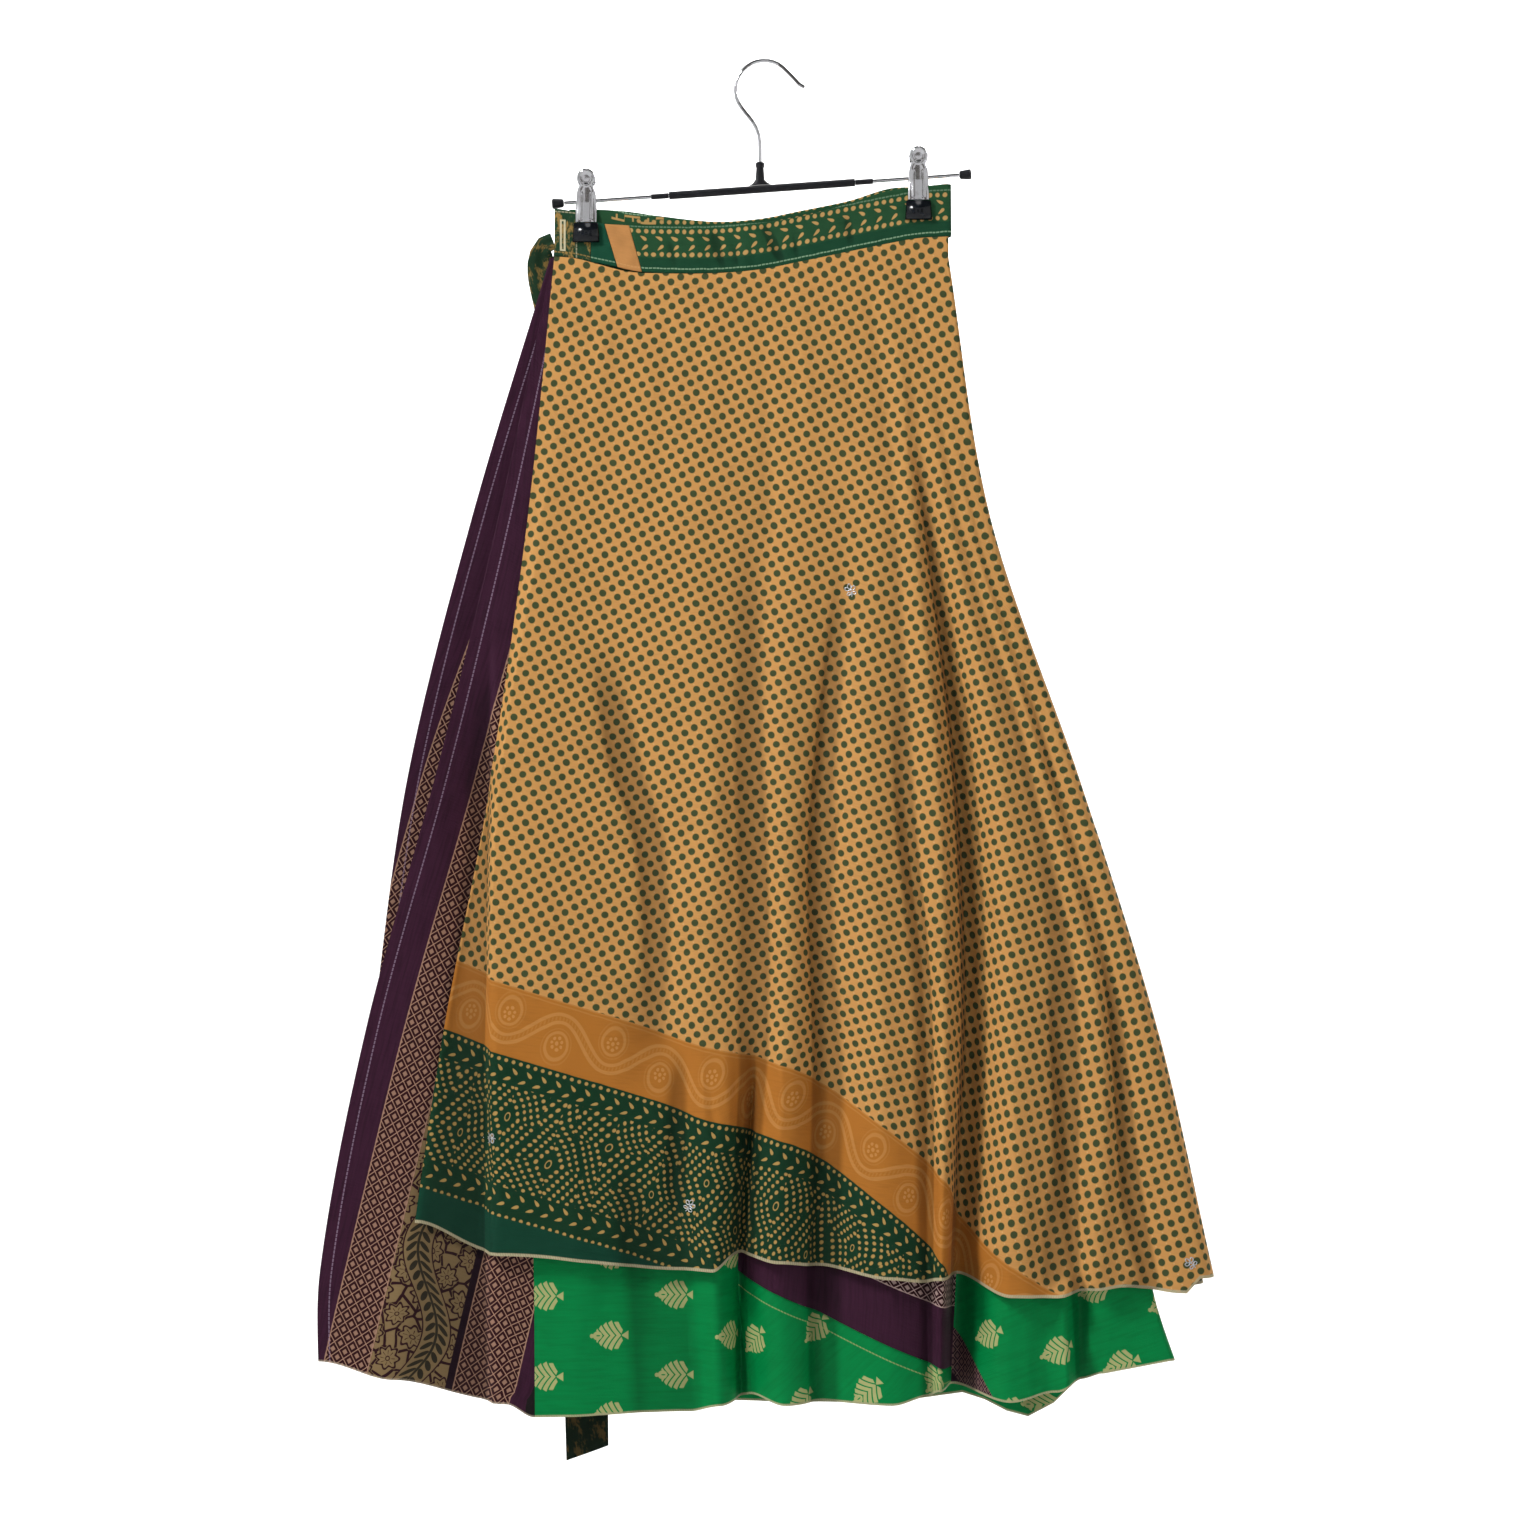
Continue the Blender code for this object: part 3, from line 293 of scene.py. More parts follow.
def relief(folds: Mapping[str, Line], creases: Sequence[Crease], x: Floats, z: Floats) -> Floats:
    """How far one side's folds and creases stand out.

    Args:
        folds: The side's folds, from left to right.
        creases: Its smaller creases.
        x: Where, across.
        z: Where, in height.

    Returns:
        The distance out at each point.
    """
    rows = list(folds.values())
    places = [row.x(z) for row in rows]
    rises = [row.stands(z) for row in rows]
    out = np.where(x <= places[0], rises[0], rises[-1])
    for k in range(len(rows) - 1):
        share = ease((x - places[k]) / (places[k + 1] - places[k]))
        inside = (x > places[k]) & (x <= places[k + 1])
        out = np.where(inside, mix(rises[k], rises[k + 1], share), out)
    for crease in creases:
        out = out + crease.stands(x, z)
    return out


def ripples(x: Floats, z: Floats, start: float) -> Floats:
    """The cloth's slight unevenness between its folds, which grows towards the hem."""
    grow = mix(0.16, 0.62, ease((SEAM_Z - z) / (SEAM_Z - HEM_Z))) * MM
    u, v = x / MM, z / MM
    slow = np.sin(u / 17.3 + v / 61 + start) * np.sin(v / 143 - u / 71 + 2.1 * start)
    quick = 0.5 * np.sin(u / 8.1 - v / 97 + 1.7 * start) * np.sin(v / 57 + u / 39 + start)
    return grow * (slow + quick)


def pitch(z: Floats) -> Floats:
    """Distance from one layer to the next at each height."""
    fall = np.clip((SEAM_Z - z) / (SEAM_Z - HEM_Z), 0, 1.1)
    return mix(PITCH_TOP, PITCH_HEM, fall**PITCH_GROWTH)


def depth(layer: int, x: Floats, z: Floats) -> Floats:
    """The y of a layer's middle surface."""
    near = FULLNESS * relief(NEAR_FOLDS, NEAR_CREASES, x, z) + ripples(x, z, 0.4)
    far = FULLNESS * relief(FAR_FOLDS, FAR_CREASES, x, z) + ripples(x, z, 2.9)
    middle = (layer - (LAYER_COUNT - 1) / 2) * pitch(z)
    return middle - NEAR_SHARE[layer] * near + FAR_SHARE[layer] * far


@dataclass(frozen=True)
class BandRow:
    """The waistband's edges at one x, in millimetres."""

    x: float
    foot: float
    near_top: float
    back_top: float


BAND_ROWS = (
    BandRow(-162, -149.7, -112.8, -112.8),
    BandRow(-146, -151.2, -115.8, -113.5),
    BandRow(-127, -155.8, -123.5, -113.5),
    BandRow(-105, -161.2, -125.8, -115.1),
    BandRow(-84, -162.7, -126.6, -118.1),
    BandRow(-39, -162.7, -125.8, -122.8),
    BandRow(-4, -159.7, -124.3, -120.5),
    BandRow(28, -153.5, -119.7, -114.3),
    BandRow(65, -145.8, -109.7, -106.6),
    BandRow(95, -139.7, -99.7, -97.4),
    BandRow(117, -135.8, -96.6, -95.9),
    BandRow(141, -134.3, -94.3, -93.5),
)


def band_edge(x: Floats | float, key: str) -> Floats:
    """Height of one edge of the waistband at x."""
    return curve_through([row.x * MM for row in BAND_ROWS], [getattr(row, key) * MM for row in BAND_ROWS], x)


class Hem(Enum):
    """Which of the two layers' hems a sheet ends in."""

    UPPER = "hem"
    LOWER = "lower"


@dataclass
class Station:
    """One line down a sheet: its place at each height, its ends and its angle on the flat cloth."""

    place: Place
    top: float
    foot: float
    turn: float


class Sheet:
    """A run of stations along one or more layers, which becomes a sheet's surface."""

    def __init__(self, hem: Hem, fineness: int, gap: float = 0.3) -> None:
        """Starts an empty sheet.

        Args:
            hem: The hem that it ends in.
            fineness: Stations to each one of the plain form.
            gap: Its distance below the band, in millimetres.
        """
        self.hem = hem
        self.fineness = fineness
        self.gap = gap * MM
        self.stations: list[Station] = []

    def add(self, place: Place, hem: float, turn: float) -> None:
        """Adds a station that hangs from the band."""
        top = float(band_edge(float(place(np.array([SEAM_Z]))[0][0]), "foot")) - self.gap
        self.stations.append(Station(place, top, hem * MM, turn))

    def between(self, layer: int, a: Line, b: Line, t: float) -> None:
        """Adds a station on a layer, a share t of the way from line a to line b."""

        def place(z: Floats) -> Pair:
            """The station's x and y at each height."""
            x = mix(a.x(z), b.x(z), t)
            return x, depth(layer, x, z)

        low = mix(getattr(a, self.hem.value), getattr(b, self.hem.value), float(ease(t)))
        self.add(place, low, mix(a.turn, b.turn, t))

    def run(self, layer: int, lines: Sequence[Line], counts: Sequence[int]) -> "Sheet":
        """Adds stations along a layer through lines.

        Args:
            layer: The layer that they lie on.
            lines: The lines in order.
            counts: How many stations of the plain form lie from each line to the next.

        Returns:
            The sheet itself.
        """
        for k, count in enumerate(counts):
            steps = count * self.fineness
            for i in range(steps):
                self.between(layer, lines[k], lines[k + 1], i / steps)
        self.between(layer, lines[-2], lines[-1], 1.0)
        return self

    def turn(self, first: int, second: int, edge: Line, steps: int, side: int) -> "Sheet":
        """Adds stations round the fold that joins two layers.

        Args:
            first: The layer that it starts on.
            second: The layer that it ends on.
            edge: The line that the fold reaches.
            steps: How many steps it takes.
            side: 1 for a fold at the right and -1 for one at the left.

        Returns:
            The sheet itself.
        """
        hem = getattr(edge, self.hem.value)
        for k in range(steps + 1):
            angle = math.pi * k / steps

            def place(z: Floats, angle: float = angle) -> Pair:
                """The station's x and y at each height."""
                reach = abs(second - first) * pitch(z) / 2
                root = edge.x(z) - side * reach
                y = mix(depth(first, root, z), depth(second, root, z), (1 - math.cos(angle)) / 2)
                return root + side * reach * math.sin(angle), y

            self.add(place, hem, edge.turn)
        return self

    def surface(self, rows: int) -> "Surface":
        """The sheet's grid of points, with rows from its top to its hem."""
        share = np.linspace(0, 1, rows)
        columns = []
        for station in self.stations:
            z = mix(station.top, station.foot, share)
            x, y = station.place(z)
            columns.append((x, y, z))
        x, y, z = (np.stack([column[k] for column in columns], axis=1) for k in range(3))
        turn = np.tile([station.turn for station in self.stations], (rows, 1))
        return Surface(x, y, z, turn)


def beside(cells: Floats, axis: int) -> Floats:
    """The mean of the cells on either side of each edge of a grid, across rows or columns."""
    pad = ((1, 1), (0, 0)) if axis == 0 else ((0, 0), (1, 1))
    wide = np.pad(cells, pad, mode="edge")
    return (wide[:-1] + wide[1:]) / 2 if axis == 0 else (wide[:, :-1] + wide[:, 1:]) / 2


def spread_steps(over: Floats, fall: Floats) -> Floats:
    """Adds each edge's step to the point at its end, and takes it from the one at its start."""
    total = np.zeros((over.shape[0], over.shape[1] + 1))
    total[:, 1:] += over
    total[:, :-1] -= over
    total[1:] += fall
    total[:-1] -= fall
    return total


def settle(stiff: Pair, keep: Floats, goal: Floats, start: Floats, turns: int = 50) -> Floats:
    """Solves for the grid's values by conjugate gradients.

    Args:
        stiff: The stiffness of the edges along the rows and down the columns.
        keep: How strongly each point is held.
        goal: The pull on each point.
        start: The first guess.
        turns: How many steps to take.

    Returns:
        The values.
    """

    def pulled(value: Floats) -> Floats:
        """The net's pull for some values."""
        steps = stiff[0] * np.diff(value, axis=1), stiff[1] * np.diff(value, axis=0)
        return spread_steps(*steps) + keep * value

    size = keep.copy()
    size[:, 1:] += stiff[0]
    size[:, :-1] += stiff[0]
    size[1:] += stiff[1]
    size[:-1] += stiff[1]
    value = start.copy()
    rest = goal - pulled(value)
    eased = rest / size
    way, worth = eased.copy(), float((rest * eased).sum())
    for _ in range(turns):
        if worth < 1e-16:
            break
        pull = pulled(way)
        far = worth / float((way * pull).sum())
        value += far * way
        rest -= far * pull
        eased = rest / size
        newer = float((rest * eased).sum())
        way = eased + newer / worth * way
        worth = newer
    return value


class Surface:
    """A grid of points with coordinates on the flat cloth, all in metres."""

    def __init__(self, x: Floats, y: Floats, z: Floats, turn: Floats | None = None) -> None:
        """Measures the grid.

        Args:
            x: Each point's x, rows by columns.
            y: Each point's y.
            z: Each point's z.
            turn: Each point's angle on the flat upper cloth, in degrees.
        """
        self.x, self.y, self.z, self.turn = x, y, z, turn
        points = np.stack([x, y, z], axis=-1)
        down = np.linalg.norm(np.diff(points, axis=0), axis=-1)
        over = np.linalg.norm(np.diff(points, axis=1), axis=-1)
        self.down = np.vstack([np.zeros((1, x.shape[1])), np.cumsum(down, axis=0)])
        self.over = np.hstack([np.zeros((x.shape[0], 1)), np.cumsum(over, axis=1)])
        self.prints: dict[str, Pair] = {
            "edge": (self.over, self.down[-1] - self.down),
            "seam": (self.over, self.down),
            "cloth": (x, z),
            # The fold layer holds how far each point lies behind its row, for the cloth's painted shade
            "fold": (self.valleys(SKIRT_FOLDS), np.zeros_like(x)),
        }

    def valleys(self, window: float) -> Floats:
        """How far each point lies behind its surroundings in its row, seen from outside.

        Args:
            window: How far the surroundings reach to each side.

        Returns:
            The distance at each point.
        """
        spacing = float(np.diff(self.over, axis=1).mean())
        reach = min(max(1, round(window / spacing)), self.x.shape[1] - 1)
        padded = np.pad(self.y, ((0, 0), (reach, reach)), mode="reflect", reflect_type="odd")
        sums = np.cumsum(np.pad(padded, ((0, 0), (1, 0))), axis=1)
        size = 2 * reach + 1
        around = (sums[:, size:] - sums[:, :-size]) / size
        facing = -1.0 if self.y.mean() > 0 else 1.0
        return (self.y - around) * facing

    def lay_fan(self, waist: float, tilt: float, evened: bool) -> "Surface":
        """Lays the print as on a fan of cloth: straight bands across a piece cut as a ring.

        Args:
            waist: The ring's radius at the waist seam.
            tilt: How far the first column leans from the print's up, in degrees.
            evened: Whether the columns spread evenly at the waist.

        Returns:
            The surface itself.
        """
        turn = self.turn
        if evened:
            even = turn[:, :1] + (turn[:, -1:] - turn[:, :1]) * self.over / self.over[:, -1:]
            turn = mix(even, turn, ease((-180 * MM - self.z) / (520 * MM)))
        angle = np.radians(turn + tilt)
        reach = waist + self.down
        along = reach * np.cos(angle)
        run = np.diff(self.over, axis=1)
        steps = np.sqrt(np.maximum(run**2 - np.diff(along, axis=1) ** 2, (0.35 * run) ** 2))
        start = reach[:, :1] * np.sin(angle[:, :1])
        across = np.hstack([start, start + np.cumsum(steps, axis=1)])
        held = BORDER_HOLD * ((along > BORDER_RING[0]) & (along < BORDER_RING[1])) + LOOSE_HOLD
        self.prints["cloth"] = self.flattened(across, along, held)
        return self

    def flattened(self, across: Floats, along: Floats, held: Floats, rounds: int = 10) -> Pair:
        """Evens out a first guess of the print's coordinates.

        Cloth that is laid flat keeps its lengths: each cell of the grid turns as a whole
        towards the guess, and then every point settles between its cells.

        Args:
            across: The first guess of the coordinate across.
            along: The first guess of the one along.
            held: How strongly each point keeps its guess along.
            rounds: How often the cells turn.

        Returns:
            The two coordinates.
        """
        points = np.stack([self.x, self.y, self.z], axis=-1)
        right, down = np.diff(points, axis=1), np.diff(points, axis=0)
        right, down = (right[:-1] + right[1:]) / 2, (down[:, :-1] + down[:, 1:]) / 2
        width = np.linalg.norm(right, axis=-1)
        lean = (right * down).sum(axis=-1) / width
        height = np.sqrt(np.maximum((down**2).sum(axis=-1) - lean**2, 1e-10))
        stiff = beside(np.clip(height / width, 0.1, 10), 0), beside(np.clip(width / height, 0.1, 10), 1)
        guess = np.stack([across, along])
        keep = np.stack([np.full(across.shape, LOOSE_HOLD), held])
        flat = guess.copy()
        for _ in range(rounds):
            over, fall = np.diff(flat, axis=2), np.diff(flat, axis=1)
            over, fall = (over[:, :-1] + over[:, 1:]) / 2, (fall[:, :, :-1] + fall[:, :, 1:]) / 2
            slope = over / width
            drop = (fall - slope * lean) / height
            turned = np.arctan2(slope[1] - drop[0], slope[0] + drop[1])
            c, s = np.cos(turned), np.sin(turned)
            goal_over = (c * width, s * width)
            goal_fall = (c * lean - s * height, s * lean + c * height)
            for k in range(2):
                goal = spread_steps(stiff[0] * beside(goal_over[k], 0), stiff[1] * beside(goal_fall[k], 1))
                flat[k] = settle(stiff, keep[k], goal + keep[k] * guess[k], flat[k])
        return flat[0], flat[1]

    def lay_from(self, line: Line) -> "Surface":
        """Lays the print square to a line down the cloth, and up from the hem."""
        lean = np.gradient(line.x(self.z), axis=0) / np.gradient(self.z, axis=0)
        across = (self.x - line.x(self.z)) / np.sqrt(1 + lean**2)
        self.prints["cloth"] = (across, self.down[-1] - self.down)
        return self

    def lay_across(self) -> "Surface":
        """Lays the print from the first station across the cloth, and level with the ground."""
        level = np.hypot(np.diff(self.x, axis=1), np.diff(self.y, axis=1))
        across = np.hstack([self.x[:, :1], self.x[:, :1] + np.cumsum(level, axis=1)])
        self.prints["cloth"] = (across, self.z)
        return self


class Field:
    """A number that varies over a surface, held in a node's socket."""

    def __init__(self, paint: "Paint", socket: Socket) -> None:
        """Wraps a socket of a material's nodes."""
        self.paint = paint
        self.socket = socket

    def __add__(self, other: "Field | float") -> "Field":
        """Sum."""
        return self.paint.math("ADD", self, other)

    __radd__ = __add__

    def __sub__(self, other: "Field | float") -> "Field":
        """Difference."""
        return self.paint.math("SUBTRACT", self, other)

    def __rsub__(self, other: float) -> "Field":
        """Difference from a number."""
        return self.paint.math("SUBTRACT", other, self)

    def __mul__(self, other: "Field | float") -> "Field":
        """Product."""
        return self.paint.math("MULTIPLY", self, other)

    __rmul__ = __mul__

    def __truediv__(self, other: "Field | float") -> "Field":
        """Quotient."""
        return self.paint.math("DIVIDE", self, other)

    def __rtruediv__(self, other: float) -> "Field":
        """Quotient of a number."""
        return self.paint.math("DIVIDE", other, self)

    def __abs__(self) -> "Field":
        """Size without sign."""
        return self.paint.math("ABSOLUTE", self)

    def __pow__(self, power: float) -> "Field":
        """Power."""
        return self.paint.math("POWER", self, power)

    def fract(self) -> "Field":
        """What is left over a whole number."""
        return self.paint.math("FRACT", self)

    def sine(self) -> "Field":
        """Sine of an angle in radians."""
        return self.paint.math("SINE", self)

    def cosine(self) -> "Field":
        """Cosine of an angle in radians."""
        return self.paint.math("COSINE", self)

    def least(self, other: "Field | float") -> "Field":
        """The smaller of two."""
        return self.paint.math("MINIMUM", self, other)

    def most(self, other: "Field | float") -> "Field":
        """The larger of two."""
        return self.paint.math("MAXIMUM", self, other)

    def step(self, low: float, high: float) -> "Field":
        """0 below low and 1 above high, or the other way round where low is the larger."""
        settings = {"interpolation_type": "SMOOTHSTEP"}
        return self.paint.ranged(self, low, high, settings)

    def repeat(self, size: float, shift: float = 0.0) -> "Field":
        """The distance from the middle of the repeat that a place lies in."""
        place = self / size
        if shift:
            place = place + shift
        return (place.fract() - 0.5) * size

    def within(self, low: float, high: float, soft: float) -> "Field":
        """1 between low and high, with soft edges."""
        return self.step(low - soft, low + soft) * self.step(high + soft, high - soft)


Colour = tuple[float, float, float]
Value = Any
BLACK: Colour = (0.0, 0.0, 0.0)


def scaled(colour: Colour, share: float, lift: float = 0.0) -> Colour:
    """A colour with each part multiplied by a share, and a lift added."""
    return colour[0] * share + lift, colour[1] * share + lift, colour[2] * share + lift


def tint(red: int, green: int, blue: int) -> Colour:
    """A colour as the shader reads it, from how it looks on a screen, 0 to 255."""
    levels = (value / 255 for value in (red, green, blue))
    linear = [v / 12.92 if v <= 0.04045 else ((v + 0.055) / 1.055) ** 2.4 for v in levels]
    return linear[0], linear[1], linear[2]


class Paint:
    """A material's nodes: fields and colours that end in one shader."""

    def __init__(self, name: str) -> None:
        """Starts a material with its shader."""
        self.material = bpy.data.materials.new(name)
        self.material.use_nodes = True
        self.tree = self.material.node_tree
        self.shader = self.tree.nodes["Principled BSDF"]

    def node(self, kind: str, settings: Mapping[str, Any], sockets: Mapping[Any, Value]) -> bpy.types.Node:
        """Adds a node.

        Args:
            kind: The node's type.
            settings: What is set on the node first.
            sockets: A value or a link for each input, by its name or number.

        Returns:
            The node.
        """
        made = self.tree.nodes.new(kind)
        for key, value in settings.items():
            setattr(made, key, value)
        for key, value in sockets.items():
            self.feed(made.inputs[key], value)
        return made

    def feed(self, socket: Socket, value: Value) -> None:
        """Sets or links a socket."""
        if isinstance(value, Field):
            self.tree.links.new(value.socket, socket)
        elif isinstance(value, Socket):
            self.tree.links.new(value, socket)
        elif isinstance(value, tuple) and socket.type == "RGBA":
            socket.default_value = (*value, 1.0)
        else:
            socket.default_value = value

    def math(self, operation: str, *values: "Field | float") -> Field:
        """One step of arithmetic."""
        made = self.node("ShaderNodeMath", {"operation": operation}, dict(enumerate(values)))
        return Field(self, made.outputs[0])

    def ranged(self, value: Field, low: float, high: float, settings: Mapping[str, Any]) -> Field:
        """A value carried from low..high to 0..1."""
        sockets = {"Value": value, "From Min": low, "From Max": high}
        return Field(self, self.node("ShaderNodeMapRange", settings, sockets).outputs[0])

    def coordinates(self, layer: str) -> tuple[Field, Field]:
        """The two coordinates of a layer of the flat cloth, in millimetres."""
        place = self.node("ShaderNodeUVMap", {"uv_map": layer}, {})
        parts = self.node("ShaderNodeSeparateXYZ", {}, {0: place.outputs[0]})
        return Field(self, parts.outputs[0]) * 1000, Field(self, parts.outputs[1]) * 1000

    def noise(self, u: Field, v: Field, size: float, detail: float = 2.0) -> Field:
        """Cloudy noise from 0 to 1 with spots of about a size in millimetres."""
        place = self.node("ShaderNodeCombineXYZ", {}, {0: u, 1: v})
        sockets = {"Vector": place.outputs[0], "Scale": 1 / size, "Detail": detail}
        return Field(self, self.node("ShaderNodeTexNoise", {}, sockets).outputs[0])

    def scales(self, u: Field, v: Field, size: float, uneven: float) -> Field:
        """Distance from the nearest edge in a scatter of cells of a size in millimetres."""
        place = self.node("ShaderNodeCombineXYZ", {}, {0: u, 1: v})
        settings = {"feature": "DISTANCE_TO_EDGE", "voronoi_dimensions": "2D"}
        sockets = {"Vector": place.outputs[0], "Scale": 1 / size, "Randomness": uneven}
        return Field(self, self.node("ShaderNodeTexVoronoi", settings, sockets).outputs["Distance"])

    def over(self, under: Value, upper: Value, mask: Field) -> Socket:
        """The upper colour laid over the one under it where the mask is 1."""
        sockets = {0: mask, 6: under, 7: upper}
        return self.node("ShaderNodeMix", {"data_type": "RGBA"}, sockets).outputs[2]

    def bump(self, height: Field, strength: float, distance: float) -> Socket:
        """A normal that follows a height."""
        sockets = {"Strength": strength, "Distance": distance, "Height": height}
        return self.node("ShaderNodeBump", {}, sockets).outputs[0]

    def speckle(self, scale: float, detail: float) -> Field:
        """Noise from 0 to 1 in the object's own space, with so many spots to a metre."""
        place = self.node("ShaderNodeTexCoord", {}, {}).outputs["Object"]
        sockets = {"Vector": place, "Scale": scale, "Detail": detail}
        return Field(self, self.node("ShaderNodeTexNoise", {}, sockets).outputs[0])

    def finish(self, colour: Value, rough: Value, normal: Value = None, **fixed: float) -> Look:
        """Joins a colour, a roughness and a normal to the shader.

        Args:
            colour: The base colour.
            rough: The roughness.
            normal: The normal, if any.
            fixed: What is the same all over, by the socket's name with lines for blanks.

        Returns:
            The material.
        """
        self.feed(self.shader.inputs["Base Color"], colour)
        self.feed(self.shader.inputs["Roughness"], rough)
        if normal is not None:
            self.feed(self.shader.inputs["Normal"], normal)
        for key, value in fixed.items():
            self.shader.inputs[key.replace("_", " ")].default_value = value
        return self.material


def dots(u: Field, v: Field, pitch_u: float, pitch_v: float, radius: float, soft: float = 0.35) -> Field:
    """Round dots on a lattice, all in millimetres.

    Args:
        u: The coordinate across.
        v: The coordinate along.
        pitch_u: The lattice's step across.
        pitch_v: Its step along.
        radius: The dots' radius.
        soft: How far their edge fades to each side.

    Returns:
        A mask, 1 on the dots.
    """
    across, along = u.repeat(pitch_u), v.repeat(pitch_v)
    reach = (across * across + along * along) ** 0.5
    return reach.step(radius + soft, radius - soft)


def oval(x: Field, y: Field, wide: Any, high: Any) -> Field:
    """The squared distance from an oval's middle, 1 on its edge, from its two half sizes."""
    return (x / wide) ** 2.0 + (y / high) ** 2.0


LEAF_LENGTH = 2.9
LEAF_BREADTH = 1.15


def leaves(u: Field, v: Field, spacing: float, slant: float, shift: float = 0.0) -> Field:
    """A row of small leaves along v = 0, a spacing apart, that lean by slant in radians."""
    across = u.repeat(spacing, shift)
    lengthwise = across * math.cos(slant) + v * math.sin(slant)
    broadwise = v * math.cos(slant) - across * math.sin(slant)
    swell = 1.0 + lengthwise * 0.16
    reach = oval(lengthwise, broadwise, LEAF_LENGTH, LEAF_BREADTH * swell) ** 0.5
    return reach.step(1.14, 0.86)


class Cloth:
    """What all the printed silks share: weave, slubs, painted shade in the valleys and a soft sheen.

    Sizes are in millimetres. Between the two depths of VALLEYS the colour darkens by up to
    VALLEY_SHADE: shade painted into the folds' hollows, by how far each point lies behind its surroundings.
    """

    CLOUD_SIZE = 46.0
    SLUB_SIZE = 5.0
    WEAVE_SIZE = 1.3
    TONE_DARKENING = 0.22
    VALLEYS = (0.4, 3.2)
    VALLEY_SHADE = 0.42
    BUMP = 1.8 * MM

    def dress(self, paint: Paint, colour: Value, rough: float = 0.62, sheen: float = 0.03) -> Look:
        """Finishes a cloth from its printed colour.

        Args:
            paint: The material's nodes.
            colour: The printed colour.
            rough: The silk's roughness.
            sheen: How much it shines at a glance.

        Returns:
            The material.
        """
        u, v = paint.coordinates("edge")
        cloud = paint.noise(u, v, self.CLOUD_SIZE, 3.0)
        slub = paint.noise(u * 0.35, v * 3.0, self.SLUB_SIZE, 2.0)
        fine = paint.noise(u, v, self.WEAVE_SIZE, 1.0)
        height = cloud * 1.1 + slub * 0.14 + fine * 0.10
        # Soft random blotches darken the colour a little and vary its roughness
        uneven_tone = (cloud - 0.5) * 0.16 + (slub - 0.5) * 0.14
        shade = paint.over(colour, BLACK, uneven_tone.step(-0.02, 0.12) * self.TONE_DARKENING)
        # Painted shade: the colour darkens towards black in the valleys, by how far each point lies behind
        # its surroundings
        valley, _ = paint.coordinates("fold")
        shade = paint.over(shade, BLACK, valley.step(*self.VALLEYS) * self.VALLEY_SHADE)
        normal = paint.bump(height, 0.6, self.BUMP)
        return paint.finish(shade, rough + uneven_tone, normal, Sheen_Weight=sheen, Specular_IOR_Level=0.1)


@dataclass(frozen=True)
class LeafRow:
    """A row of printed leaves: its height, in millimetres, their lean in radians, and its shift."""

    middle: float
    slant: float
    shift: float
    spacing: float = 11.5


BORDER_LEAVES = (
    LeafRow(9.6, 0.75, 0.0),
    LeafRow(16.8, -0.5, 0.35),
    LeafRow(103.5, 0.75, 0.1),
    LeafRow(111.0, -0.5, 0.4),
)


